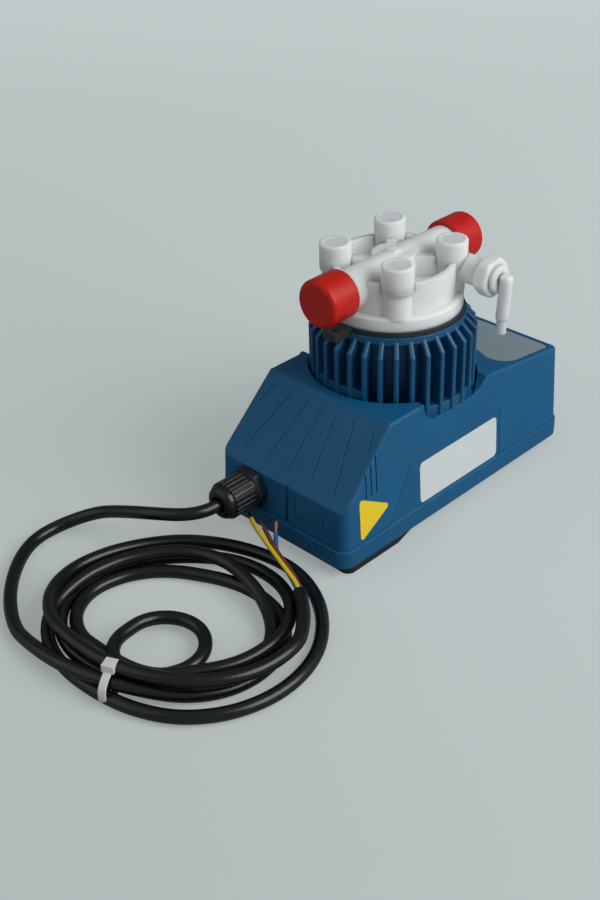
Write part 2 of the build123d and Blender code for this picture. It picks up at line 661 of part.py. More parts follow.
def cooling_fin():
    """One fin pointing along X, its outer edges rounded, its top falling outwards from the collar."""
    slope = (FIN_TOP_Z - FIN_CORNER_Z) / (FIN_R - COLLAR_R)
    root = CORE_R - 1
    side = [
        (root, RECESS_Z),
        (FIN_R, RECESS_Z),
        (FIN_R, FIN_CORNER_Z),
        (COLLAR_R - 1, FIN_TOP_Z + slope),
        (root, FIN_TOP_Z + slope),
    ]
    fin = xz_prism(side, FIN_T / 2)
    long_edges = [e for e in fin.edges() if abs(abs(e.center().Y) - FIN_T / 2) < 0.01]
    outer = [e for e in long_edges if e.center().X > COLLAR_R]
    outer = [e for e in outer if e.center().Z > RECESS_Z + 1]
    return Pos(DRUM_X, 0, 0) * fillet(outer, FIN_EDGE_R)


def solenoid_housing():
    """Finned drum: bore for the solenoid, web under the liquid end, collar."""
    drum = rod(CORE_R, RECESS_Z, DRUM_TOP_Z) + around(cooling_fin(), FIN_COUNT, 180)
    drum = drum + ring(COLLAR_R, CORE_R - 1, DRUM_TOP_Z - COLLAR_H, DRUM_TOP_Z)
    drum = drum + ring(FIN_R - RING_STEP, CORE_R - 1, RECESS_Z, RECESS_Z + BASE_RING_H)
    plan = Pos(DRUM_X, 0) * sector(FIN_R + 2, *HIGH_RING_ANGLES)
    wedge = extrude(Plane.XY.offset(RECESS_Z) * plan, amount=HIGH_RING_H)
    drum = drum + (wedge & ring(FIN_R - RING_STEP, CORE_R - 1, RECESS_Z, RECESS_Z + HIGH_RING_H))
    drum = drum - rod(BORE_R, RECESS_Z - 1, WEB_UNDER) - rod(GUIDE_R + FIT, WEB_UNDER - 1, DRUM_TOP_Z + 1)
    foot_hole = rod(DRUM_TAP_R, RECESS_Z - 1, RECESS_Z + FOOT_HOLE_DEPTH, DRUM_X + DRUM_SCREW_R, 0)
    tower_r = BOSS_OFFSET * sqrt(2)
    head_hole = rod(HEAD_SCREW_R + 0.1, SCREW_TIP_Z - 2, DRUM_TOP_Z + 1, DRUM_X + tower_r, 0)
    for cut in around(foot_hole, 4) + around(head_hole, 4, 45):
        drum = drum - cut
    return drum


def drum_screws():
    """Four screws from inside the housing into the drum's foot."""
    z = RECESS_Z - WALL - SCREW_HEAD_T
    length = WALL + FOOT_HOLE_DEPTH - 3
    one = screw(DRUM_X + DRUM_SCREW_R, 0, z, length, SCREW_HEAD_R, SCREW_HEAD_T, DRUM_TAP_R - 0.1)
    return around(one, 4)


# ---- solenoid ------------------------------------------------------------------------------
def solenoid_back_plate():
    """Dished plate that closes the drum's bore."""
    cup = rod(YOKE_R, RECESS_Z, REAR_PLATE_Z)
    return cup - rod(YOKE_R - 3, RECESS_Z + BACK_PLATE_T, REAR_PLATE_Z + 1)


def rear_bumper():
    """Rubber disc behind the armature."""
    return rod(9.0, RECESS_Z + BACK_PLATE_T, ARMATURE_Z - 0.1)


def magnet_rear_plate():
    """Steel washer round the armature's tail."""
    return ring(YOKE_R, ARMATURE_R + 0.3, REAR_PLATE_Z, YOKE_Z)


def magnet_yoke():
    """Steel tube round the coil."""
    return ring(YOKE_R, YOKE_R - YOKE_WALL, YOKE_Z, POLE_TOP)


def pole_piece():
    """Flanged steel pole with the spring's counterbore."""
    flange = rod(YOKE_R - YOKE_WALL - 0.1, POLE_TOP - POLE_FLANGE_T, POLE_TOP)
    body = flange + rod(POLE_R, POLE_FACE_Z, POLE_TOP)
    body = body - rod(SPRING_R + SPRING_ROOM, POLE_FACE_Z - 1, POLE_FACE_Z + SPRING_SEAT)
    return body - rod(SHAFT_R + BUSH_WALL, POLE_FACE_Z, POLE_TOP + 1)


def coil_bobbin():
    """Plastic bobbin round pole and armature."""
    z0, z1 = YOKE_Z, POLE_TOP - POLE_FLANGE_T
    inner = POLE_R + COIL_GAP
    outer = YOKE_R - YOKE_WALL - COIL_GAP
    spool = ring(outer, inner, z0, z1)
    return spool - ring(outer + 1, inner + BOBBIN_WALL, z0 + BOBBIN_WALL, z1 - BOBBIN_WALL)


def coil_winding():
    """Wound copper between the bobbin's flanges."""
    z0, z1 = YOKE_Z + BOBBIN_WALL, POLE_TOP - POLE_FLANGE_T - BOBBIN_WALL
    return ring(COIL_R, POLE_R + COIL_GAP + BOBBIN_WALL, z0, z1)


def armature():
    """Steel plunger with the spring's counterbore and the shaft's bore."""
    body = rod(ARMATURE_R, ARMATURE_Z, ARMATURE_TOP)
    body = body - rod(SPRING_R + SPRING_ROOM, ARMATURE_TOP - SPRING_SEAT, ARMATURE_TOP + 1)
    return body - rod(SHAFT_R, SHAFT_FOOT, ARMATURE_TOP)


def drive_shaft():
    """Rod from the plunger to the diaphragm's core."""
    return rod(SHAFT_R, SHAFT_FOOT, SOCKET_TOP)


def guide_bush():
    """Plain bush for the shaft, pressed into the pole."""
    bush = ring(SHAFT_R + BUSH_WALL, SHAFT_R + RUN_FIT, POLE_FACE_Z + SPRING_SEAT, POLE_TOP + 1.5)
    return bush + ring(GUIDE_R - 3, SHAFT_R + RUN_FIT, POLE_TOP, POLE_TOP + 1.5)


def return_spring():
    """Coil spring between plunger and pole."""
    z0 = ARMATURE_TOP - SPRING_SEAT + SPRING_WIRE / 2
    z1 = POLE_FACE_Z + SPRING_SEAT - SPRING_WIRE / 2
    path = Helix(pitch=(z1 - z0) / SPRING_TURNS, height=z1 - z0, radius=SPRING_R)
    section = Plane(origin=path @ 0, z_dir=path % 0) * Circle(SPRING_WIRE / 2)
    return Pos(DRUM_X, 0, z0) * sweep(section, path=path, is_frenet=True)


# ---- liquid end ----------------------------------------------------------------------------
def tower_places():
    """Centres of the four screw towers."""
    return [(DRUM_X + sx * BOSS_OFFSET, sy * BOSS_OFFSET) for sx in (-1, 1) for sy in (-1, 1)]


def spacer_ring():
    """Black ring under the head with its drain spout."""
    body = ring(RING_R, RING_BORE_R, DRUM_TOP_Z, HEAD_Z)
    reach = DRUM_X - LUG_REACH
    clear = DRUM_X - COLLAR_R - 0.3
    lug = box(reach, DRUM_X - RING_BORE_R - 6, -LUG_HALF_W, LUG_HALF_W, DRUM_TOP_Z, HEAD_Z)
    lug = lug + box(reach, clear, -LUG_HALF_W, LUG_HALF_W, DRUM_TOP_Z - 1.8, HEAD_Z)
    nose = [e for e in lug.edges().filter_by(Axis.Z) if e.center().X < reach + 0.1]
    body = body + fillet(nose, 2.5)
    for x, y in tower_places():
        body = body - rod(HEAD_SCREW_R + FIT, DRUM_TOP_Z - 1, HEAD_Z + 1, x, y)
    return body - rod(1.6, DRUM_TOP_Z - 4, HEAD_Z + 1, reach + 5, 0)


def diaphragm():
    """Flexible annulus clamped between head and spacer ring."""
    return ring(DIAPHRAGM_R, DIAPHRAGM_CORE_R, HEAD_Z, HEAD_Z + DIAPHRAGM_T)


def diaphragm_core():
    """Stiff centre of the diaphragm with the shaft's socket."""
    core = rod(DIAPHRAGM_CORE_R, HEAD_Z - 0.6, HEAD_Z + DIAPHRAGM_T + 0.5)
    hub = rod(6.0, DRUM_TOP_Z - 1.2, HEAD_Z)
    return core + hub - rod(SHAFT_R, DRUM_TOP_Z - 2, SOCKET_TOP)


def pump_head():
    """Moulded head: flange, scalloped wall, four towers, webs, manifold, priming boss."""
    body = rod(HEAD_R, HEAD_Z, FLANGE_TOP)
    body = fillet(body.edges().group_by(Axis.Z)[-1], 1.2)
    body = body + rod(WALL_R, FLANGE_TOP - 1, HEAD_WALL_TOP)
    body = body - rod(WALL_R - HEAD_WALL, HEAD_POCKET_Z, HEAD_WALL_TOP + 1)
    body = body + rod(HUB_R, FLANGE_TOP, HUB_TOP)
    body = body + box(DRUM_X - BUMP / 2, DRUM_X + BUMP / 2, -BUMP / 2, BUMP / 2, FLANGE_TOP, HUB_TOP + 2)
    for angle in (45, 135):
        web = Pos(DRUM_X, 0, (FLANGE_TOP + WEB_TOP) / 2) * Rot(0, 0, angle)
        body = body + web * Box(2 * BOSS_OFFSET * sqrt(2), WEB_T, WEB_TOP - FLANGE_TOP)
    wide_x = sqrt(WALL_R**2 - MANIFOLD_R**2)
    body = body + box(DRUM_X - wide_x, DRUM_X + wide_x, -MANIFOLD_R, MANIFOLD_R, FLANGE_TOP - 1, PORT_Z)
    body = body + rod_x(MANIFOLD_R, SUCTION_FACE_X, DISCHARGE_FACE_X, 0, PORT_Z)
    body = body + rod_x(PORT_R, SUCTION_MOUTH_X, DISCHARGE_MOUTH_X, 0, PORT_Z)
    for x, y in tower_places():
        body = body + rod(BOSS_R, FLANGE_TOP - 1, CAP_SPLIT_Z + CAP_LAP, x, y)
    boss = rod_y(VALVE_BOSS_R, -VALVE_BOSS_END, -BOSS_OFFSET, VALVE_X, PORT_Z)
    body = body + boss
    for x, y in tower_places():
        body = body - ring(CAP_R + FIT, BOSS_R, CAP_SPLIT_Z - 0.1, CAP_TOP_Z + 5, x, y)
        body = body - rod(BOSS_R, CAP_SPLIT_Z + CAP_LAP, CAP_TOP_Z + 5, x, y)
        body = body - rod(HEAD_SCREW_R + FIT, HEAD_Z - 1, CAP_TOP_Z, x, y)
    body = body - rod(DIAPHRAGM_R, HEAD_Z - 1, HEAD_Z + DIAPHRAGM_T)
    body = body - rod(CHAMBER_R, HEAD_Z, HEAD_Z + CHAMBER_H)
    for x in PASSAGE_X:
        body = body - rod(SEAT_BORE_R, HEAD_Z, PORT_Z, x, 0)
    body = body - rod_x(PORT_BORE_R, SUCTION_MOUTH_X - 1, SUCTION_INNER_X, 0, PORT_Z)
    body = body - rod_x(PORT_BORE_R, DISCHARGE_INNER_X, DISCHARGE_MOUTH_X + 1, 0, PORT_Z)
    body = body - rod_x(SEAT_BORE_R, SUCTION_INNER_X - 1, PASSAGE_X[0], 0, PORT_Z)
    body = body - rod_x(SEAT_BORE_R, PASSAGE_X[1], DISCHARGE_INNER_X + 1, 0, PORT_Z)
    body = body - rod_y(SPINDLE_R + RUN_FIT, -VALVE_BOSS_END - 1, -VALVE_BORE_END, VALVE_X, PORT_Z)
    return body - rod_y(1.2, -VALVE_BORE_END - 1, -4, VALVE_X, PORT_Z)


def head_screws():
    """Four long screws through head and ring into the drum."""
    seat = CAP_SPLIT_Z + CAP_LAP
    sizes = (seat + HEAD_SCREW_HEAD_T, seat - SCREW_TIP_Z, HEAD_SCREW_HEAD_R, HEAD_SCREW_HEAD_T, HEAD_SCREW_R)
    return [screw(x, y, *sizes, up=-1) for x, y in tower_places()]


def head_screw_caps():
    """White covers over the head screws."""
    caps = []
    for x, y in tower_places():
        cap = rod(CAP_R, CAP_SPLIT_Z, CAP_TOP_Z, x, y)
        cap = fillet(cap.edges().group_by(Axis.Z)[-1], 1.3)
        cap = cap - rod(BOSS_R, CAP_SPLIT_Z - 1, CAP_SPLIT_Z + CAP_LAP, x, y)
        cap = cap - rod(HEAD_SCREW_HEAD_R + 1.2, CAP_SPLIT_Z + 3, CAP_TOP_Z - 2.5, x, y)
        dish = rod(CAP_R - 2.4, CAP_TOP_Z - 0.5, CAP_TOP_Z + 1, x, y)
        caps.append(cap - dish)
    return caps


def valve_seat(seat_x, start_x, end_x):
    """Cartridge with a seat bore, a ball cage opening towards +X and a slotted stop."""
    stop_x = seat_x + 2 * BALL_SEAT_DX + BALL_LIFT + 0.2
    body = rod_x(PORT_BORE_R, start_x, end_x, 0, PORT_Z)
    body = body - rod_x(SEAT_BORE_R, start_x - 1, end_x + 1, 0, PORT_Z)
    body = body - rod_x(BALL_CAGE_R, seat_x, stop_x, 0, PORT_Z)
    slot = box(stop_x - 1, end_x + 1, -BALL_CAGE_R, BALL_CAGE_R, PORT_Z - 1, PORT_Z + 1)
    cross = box(stop_x - 1, end_x + 1, -1, 1, PORT_Z - BALL_CAGE_R, PORT_Z + BALL_CAGE_R)
    return body - slot - cross


def suction_valve_seat():
    """Inlet valve cartridge."""
    return valve_seat(SUCTION_SEAT_X, SUCTION_INNER_X - SEAT_LENGTH - 2, SUCTION_INNER_X)


def discharge_valve_seat():
    """Outlet valve cartridge."""
    return valve_seat(DISCHARGE_SEAT_X, DISCHARGE_INNER_X, DISCHARGE_INNER_X + SEAT_LENGTH)


def ball(seat_x):
    """Ceramic ball resting on its seat."""
    return Pos(seat_x + BALL_SEAT_DX + 0.03, 0, PORT_Z) * Sphere(BALL_R)


def port_cap(mouth_x, way):
    """Red protection cap: rounded end, small rim; way is +1 or -1 along X."""
    face = mouth_x + way * PORT_CAP_WALL
    rim = face - way * PORT_CAP_L
    cap = rod_x(PORT_CAP_R, face, rim, 0, PORT_Z)
    end = cap.edges().sort_by(Axis.X)[0 if way < 0 else -1]
    cap = fillet(end, 3.0)
    cap = fillet(cap.edges().filter_by(GeomType.CIRCLE).sort_by(Axis.X)[-1 if way < 0 else 0], 0.7)
    return cap - rod_x(PORT_R + PORT_CAP_FIT, mouth_x, rim - way, 0, PORT_Z)


# ---- priming valve -------------------------------------------------------------------------


def priming_spindle():
    """Stem with two ring grooves, a shoulder and the neck that carries knob and nozzle."""
    stem = rod_y(SPINDLE_R, KNOB_Y, -VALVE_BORE_END - 0.3, VALVE_X, PORT_Z)
    for y in O_RING_Y:
        groove = rod_y(SPINDLE_R + 1, -y - O_RING_T / 2, -y + O_RING_T / 2, VALVE_X, PORT_Z)
        groove = groove - rod_y(SPINDLE_R - O_RING_DEPTH, -y - 2, -y + 2, VALVE_X, PORT_Z)
        stem = stem - groove
    neck = rod_y(SPINDLE_NECK_R, NECK_END, KNOB_Y, VALVE_X, PORT_Z)
    return stem + neck


def priming_o_rings():
    """Two seals on the stem."""
    seals = []
    for y in O_RING_Y:
        seal = rod_y(SPINDLE_R, -y - O_RING_T / 2, -y + O_RING_T / 2, VALVE_X, PORT_Z)
        seals.append(seal - rod_y(SPINDLE_R - O_RING_DEPTH, -y - 2, -y + 2, VALVE_X, PORT_Z))
    return seals


def priming_knob():
    """Hexagonal knob."""
    hexagon = RegularPolygon(KNOB_FLATS / 2, 6, major_radius=False)
    prism = extrude(Plane.XZ.offset(-KNOB_Y) * Rot(0, 0, KNOB_TURN) * hexagon, amount=KNOB_T)
    dome = rod_y(KNOB_FLATS / 2 * 1.09, KNOB_Y - KNOB_T, KNOB_Y, 0, 0)
    dome = chamfer(dome.edges().filter_by(GeomType.CIRCLE), 1.2)
    knob = Pos(VALVE_X, 0, PORT_Z) * (prism & dome)
    return knob - rod_y(SPINDLE_NECK_R + RUN_FIT, KNOB_Y - KNOB_T - 1, KNOB_Y + 1, VALVE_X, PORT_Z)


def priming_nozzle():
    """Swivelling elbow with its hose spout, leaning a little."""
    collar_end = NECK_END - 0.4
    collar = rod_y(COLLAR_NOZZLE_R, collar_end, KNOB_Y - KNOB_T - 0.1, 0, 0)
    collar = fillet(collar.edges().filter_by(GeomType.CIRCLE).sort_by(Axis.Y)[0], 1.0)
    top = NOZZLE_R
    shoulder = -(NOZZLE_DROP - NOZZLE_TIP_L)
    pipe = rod(NOZZLE_R, shoulder, top, 0, NOZZLE_Y)
    pipe = fillet(pipe.edges().group_by(Axis.Z)[-1], 2.2)
    tip = rod(NOZZLE_TIP_R, -NOZZLE_DROP, shoulder + 1, 0, NOZZLE_Y)
    tip = chamfer(tip.edges().group_by(Axis.Z)[0], 0.6)
    elbow = collar + pipe + tip - rod_y(SPINDLE_NECK_R + RUN_FIT, NECK_END - 0.1, 0, 0, 0)
    elbow = elbow - rod(1.8, -NOZZLE_DROP - 1, 0, 0, NOZZLE_Y)
    return Pos(VALVE_X, 0, PORT_Z) * Rot(0, NOZZLE_LEAN, 0) * elbow


# ---- overlays ------------------------------------------------------------------------------


def panel_overlay():
    """Sheet over the control panel."""
    sheet = extrude(DECK_PLANE * panel_sketch(FIT), amount=PANEL_T)
    return Pos(*(DECK_PLANE.z_dir * -PANEL_DEPTH)) * sheet


def wall_sticker(sketch):
    """Thin sheet lying on the front side wall, outlined in XZ."""
    prism = extrude(Plane.XZ * sketch, amount=HOUSING_W)
    return (drafted_body(-LABEL_T) - drafted_body()) & prism


def side_label():
    """Bare rating plate on the front label tab."""
    width, height = LABEL_X[1] - LABEL_X[0], LABEL_Z[1] - LABEL_Z[0]
    middle = Pos(sum(LABEL_X) / 2, sum(LABEL_Z) / 2)
    return wall_sticker(middle * RectangleRounded(width, height, LABEL_R))


def triangle_sticker():
    """Bare yellow triangle ahead of the tab."""
    sketch = make_face(Polyline(*SIGN_CORNERS, close=True))
    return wall_sticker(fillet(sketch.vertices(), 2.0))


# ---- electronics ---------------------------------------------------------------------------


def power_board():
    """Board over the cover's back."""
    return box(*POWER_BOARD, POWER_BOARD_Z, POWER_BOARD_Z + BOARD_T)


def power_components():
    """Capacitors, transformer and heat sink of the power board."""
    z = POWER_BOARD_Z + BOARD_T
    parts = [rod(BIG_CAN_R, z, z + BIG_CAN_H, BIG_CAN_X, side * BIG_CAN_Y) for side in (1, -1)]
    parts.append(rod(SMALL_CAN_R, z, z + SMALL_CAN_H, *SMALL_CAN_PLACE))
    x0, x1, half_w, height = TRANSFORMER
    parts.append(box(x0, x1, -half_w, half_w, z, z + height))
    x0, x1, half_w, height = HEAT_SINK
    sink = box(x0, x1, -half_w, half_w, z, z + SINK_BASE_T)
    pitch = (x1 - x0 - SINK_FIN_T) / (SINK_FINS - 1)
    for i in range(SINK_FINS):
        sink = sink + box(x0 + pitch * i, x0 + pitch * i + SINK_FIN_T, -half_w, half_w, z, z + height)
    parts.append(sink)
    return parts


def control_board():
    """Board under the panel."""
    return box(*CONTROL_BOARD, CONTROL_BOARD_Z, CONTROL_BOARD_Z + BOARD_T)


def board_components():
    """Encoder, chip, connector and a row of indicators on the control board."""
    z = CONTROL_BOARD_Z + BOARD_T
    parts = []
    for x0, x1, y0, y1, height in BOARD_BLOCKS:
        parts.append(box(CONTROL_BOARD[0] + x0, CONTROL_BOARD[0] + x1, y0, y1, z, z + height))
    for i in range(LAMP_COUNT):
        x0 = CONTROL_BOARD[0] + LAMP_X + LAMP_PITCH * i
        parts.append(box(x0, x0 + LAMP_W, LAMP_Y, LAMP_Y + 2 * LAMP_W, z, z + LAMP_W))
    return parts


def terminal_block():
    """Mains terminals on the power board."""
    z = POWER_BOARD_Z + BOARD_T
    x0, x1, y0 = TERMINAL_PLACE
    block = box(x0, x1, y0, y0 + TERMINAL_WAYS * TERMINAL_PITCH, z, z + TERMINAL_H)
    for i in range(TERMINAL_WAYS):
        y = y0 + TERMINAL_PITCH * (i + 0.5)
        block = block - rod(TERMINAL_HOLE_R, z + TERMINAL_H / 2, z + TERMINAL_H + 1, (x0 + x1) / 2, y)
    return block


def tube(points, radii, r):
    """Round tube along straight runs joined by tangent arcs."""
    path = FilletPolyline(*points, radius=radii)
    section = Plane(origin=path @ 0, z_dir=path % 0) * Circle(r)
    return sweep(section, path=path)


def arc_radii(points):
    """Radius at each inner corner: 0.45 of the shorter run over the tangent of half the turn."""
    places = [Vector(*p) for p in points]
    radii = []
    for before, here, after in zip(places, places[1:], places[2:]):
        turn = radians((here - before).get_angle(after - here))
        radii.append(0.45 * min((here - before).length, (after - here).length) / tan(turn / 2))
    return radii


def routed_tube(points, r):
    """Tube whose arcs are as large as its runs allow."""
    return tube(points, arc_radii(points), r)


def coil_leads():
    """Two leads from the drum's foot down to the power board's transformer."""
    (x_top, x_end), (y_top, y_end), (bend, low_bend) = COIL_LEAD_X, COIL_LEAD_Y, COIL_LEAD_BENDS
    end = POWER_BOARD_Z + BOARD_T + COIL_LEAD_END_H
    leads = []
    for side in (1, -1):
        top = (x_top, side * y_top)
        foot = (x_end, side * y_end)
        route = [(*top, RECESS_Z), (*top, bend), (*foot, low_bend), (*foot, end)]
        leads.append(routed_tube(route, COIL_LEAD_R))
    return leads


# ---- cable gland ---------------------------------------------------------------------------
def gland_axis(shape):
    """Moves a shape drawn about the X axis onto the gland's axis."""
    return Pos(0, GLAND_Y, GLAND_Z) * shape


def gland_body():
    """Hexagon on the end wall with a threaded barrel both ways."""
    hexagon = RegularPolygon(GLAND_FLATS / 2, 6, major_radius=False)
    nut = extrude(Plane.YZ.offset(GLAND_HEX_X) * hexagon, amount=GLAND_HEX_T)
    trim = rod_x(GLAND_FLATS / 2 * 1.12, GLAND_HEX_X, GLAND_FACE_X, 0, 0)
    trim = chamfer(trim.edges().filter_by(GeomType.CIRCLE), 1.0)
    barrel = rod_x(GLAND_THREAD_R, GLAND_NUT_X + 3, GLAND_INNER_X + 6, 0, 0)
    return gland_axis((nut & trim) + barrel - rod_x(GLAND_SEAL_R, GLAND_NUT_X, GLAND_INNER_X + 7, 0, 0))


def gland_seal():
    """Rubber sleeve gripping the lead."""
    x0 = GLAND_NUT_X + 3
    sleeve = rod_x(GLAND_SEAL_R, x0, x0 + GLAND_SEAL_L, 0, 0)
    return gland_axis(sleeve - rod_x(CORD_R, x0 - 1, x0 + GLAND_SEAL_L + 1, 0, 0))


def gland_dome_nut():
    """Fluted cap nut with a rounded mouth."""
    nut = rod_x(GLAND_NUT_R, GLAND_NUT_X, GLAND_HEX_X, 0, 0)
    for i in range(FLUTES):
        flute = rod_x(FLUTE_R, GLAND_NUT_X - 1, GLAND_HEX_X - 1.5, GLAND_NUT_R + FLUTE_R / 3, 0)
        nut = nut - Rot(360 / FLUTES * i, 0, 0) * flute
    dome = rod_x(GLAND_NUT_R - 1.2, GLAND_END, GLAND_NUT_X, 0, 0)
    dome = fillet(dome.edges().filter_by(GeomType.CIRCLE).sort_by(Axis.X)[0], 4.4)
    shell = nut + dome - rod_x(GLAND_THREAD_R + 0.15, GLAND_NUT_X + 2, GLAND_HEX_X + 1, 0, 0)
    return gland_axis(shell - rod_x(GLAND_MOUTH_R, GLAND_END - 1, GLAND_HEX_X + 1, 0, 0))


def gland_locknut():
    """Nut inside the housing."""
    hexagon = RegularPolygon(GLAND_FLATS / 2 + 0.5, 6, major_radius=False)
    nut = extrude(Plane.YZ.offset(GLAND_INNER_X) * hexagon, amount=5)
    return gland_axis(nut - rod_x(GLAND_THREAD_R + 0.1, GLAND_INNER_X - 1, GLAND_INNER_X + 7, 0, 0))


# ---- lead ----------------------------------------------------------------------------------


def elliptic_ring(centre, outer, inner, z0, z1):
    """Flat ring with an elliptic outline and hole."""
    sketch = Ellipse(*outer) - Ellipse(*inner)
    return extrude(Plane.XY.offset(z0) * Pos(*centre) * sketch, amount=z1 - z0)


def power_cord():
    """Lead from the gland to the coil."""
    return routed_tube(CORD_ROUTE, CORD_R)


def cord_coil():
    """Outer shape of the coiled lead with the single small turn inside it."""
    turns = elliptic_ring(COIL_CENTRE, COIL_OUTER, COIL_INNER, 0, COIL_H)
    turns = fillet(turns.edges(), CORD_R)
    return turns + elliptic_ring(LOOP_CENTRE, LOOP_OUTER, LOOP_INNER, COIL_H / 4, COIL_H - 1)


def cord_tail():
    """Last stretch of the lead, up to the end of its jacket."""
    return routed_tube(TAIL_ROUTE, CORD_R)


def wire_route(name):
    """Points of one wire from the end of the jacket to its tip."""
    angle, points = WIRES[name]
    end, before = Vector(*JACKET_END), Vector(*TAIL_ROUTE[-2])
    along = (end - before).normalized()
    side = along.cross(Vector(0, 0, 1)).normalized()
    offset = side * (WIRE_SPREAD * cos(radians(angle))) + Vector(0, 0, WIRE_SPREAD * sin(radians(angle)))
    start = end + offset
    return [tuple(start), tuple(start + along * 5)] + points


def wire(name):
    """Insulated wire, its last stretch stripped."""
    points = wire_route(name)
    tip, before = Vector(*points[-1]), Vector(*points[-2])
    points[-1] = tuple(tip - (tip - before).normalized() * STRIPPED)
    return routed_tube(points, WIRE_R)


def wire_strands():
    """Bare ends of the three wires."""
    ends = []
    for name in WIRES:
        points = wire_route(name)
        tip, before = Vector(*points[-1]), Vector(*points[-2])
        along = (tip - before).normalized()
        ends.append(Plane(origin=tip - along * (STRIPPED / 2), z_dir=along) * Cylinder(STRAND_R, STRIPPED))
    return ends


def cable_tie():
    """Band round the bundle with its lock."""
    x0, x1 = TIE_SPAN
    y = TIE_PLACE[1]
    height = COIL_H + TIE_T
    loop = RectangleRounded(x1 - x0, height, TIE_CORNER_R)
    hole = RectangleRounded(x1 - x0 - 2 * TIE_T, height - 2 * TIE_T, TIE_CORNER_R - TIE_T)
    section = Pos((x0 + x1) / 2, height / 2) * (loop - hole)
    band = extrude(Plane.XZ.offset(-y) * section, amount=TIE_WIDTH)
    lock_x, lock_w, lock_h = TIE_LOCK
    return band + box(lock_x, lock_x + lock_w, y - TIE_WIDTH - 1, y + 1, height - TIE_T, height + lock_h)


# ---- nodes ---------------------------------------------------------------------------------
NODES = {
    "main_housing": main_housing,
    "rear_cover": rear_cover,
    "cover_gasket": cover_gasket,
    "cover_screws": cover_screws,
    "wall_bracket": wall_bracket,
    "bracket_screws": bracket_screws,
    "solenoid_housing": solenoid_housing,
    "drum_screws": drum_screws,
    "solenoid_back_plate": solenoid_back_plate,
    "rear_bumper": rear_bumper,
    "magnet_rear_plate": magnet_rear_plate,
    "magnet_yoke": magnet_yoke,
    "pole_piece": pole_piece,
    "coil_bobbin": coil_bobbin,
    "coil_winding": coil_winding,
    "armature": armature,
    "drive_shaft": drive_shaft,
    "guide_bush": guide_bush,
    "return_spring": return_spring,
    "spacer_ring": spacer_ring,
    "diaphragm": diaphragm,
    "diaphragm_core": diaphragm_core,
    "pump_head": pump_head,
    "head_screws": head_screws,
    "head_screw_caps": head_screw_caps,
    "suction_valve_seat": suction_valve_seat,
    "suction_ball": lambda: ball(SUCTION_SEAT_X),
    "discharge_valve_seat": discharge_valve_seat,
    "discharge_ball": lambda: ball(DISCHARGE_SEAT_X),
    "suction_cap": lambda: port_cap(SUCTION_MOUTH_X, -1),
    "discharge_cap": lambda: port_cap(DISCHARGE_MOUTH_X, 1),
    "priming_spindle": priming_spindle,
    "priming_o_rings": priming_o_rings,
    "priming_knob": priming_knob,
    "priming_nozzle": priming_nozzle,
    "panel_overlay": panel_overlay,
    "side_label": side_label,
    "triangle_sticker": triangle_sticker,
    "control_board": control_board,
    "board_components": board_components,
    "power_board": power_board,
    "power_components": power_components,
    "terminal_block": terminal_block,
    "coil_leads": coil_leads,
    "gland_body": gland_body,
    "gland_seal": gland_seal,
    "gland_dome_nut": gland_dome_nut,
    "gland_locknut": gland_locknut,
    "power_cord": power_cord,
    "cord_coil": cord_coil,
    "cord_tail": cord_tail,
    "wire_earth": lambda: wire("earth"),
    "wire_line": lambda: wire("line"),
    "wire_neutral": lambda: wire("neutral"),
    "wire_strands": wire_strands,
    "cable_tie": cable_tie,
}


def solids_of(shape):
    """Every solid of a part, a list of parts or a compound."""
    parts = shape if isinstance(shape, list) else [shape]
    return [solid for part in parts for solid in part.solids()]


os.makedirs("parts", exist_ok=True)
for node, make in NODES.items():
    solids = solids_of(make())
    solids = [Pos(*SHIFT) * solid for solid in solids]
    body = solids[0] if len(solids) == 1 else Compound(solids)
    export_step(body, f"parts/{node}.step")
    size = body.bounding_box().size
    extent = f"{size.X:6.1f} {size.Y:6.1f} {size.Z:6.1f}"
    print(f"{node:22s} {len(solids):2d} solids {body.volume:10.0f} mm3 {extent}")

routes = {"lead": CORD_ROUTE, "lead's end": TAIL_ROUTE}
routes.update({f"{name} wire": wire_route(name) for name in WIRES})
for name, points in routes.items():
    print("bend radii of the", name, [round(r, 1) for r in arc_radii(points)])
print("origin moved by", SHIFT)
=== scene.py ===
"""Diaphragm metering pump: finishes, mains lead, stage and camera, laid out as an add-on."""
import json
import math

import bmesh
import bpy
import numpy as np
from bpy.props import FloatProperty, FloatVectorProperty, IntProperty, PointerProperty
from mathutils import Matrix, Vector

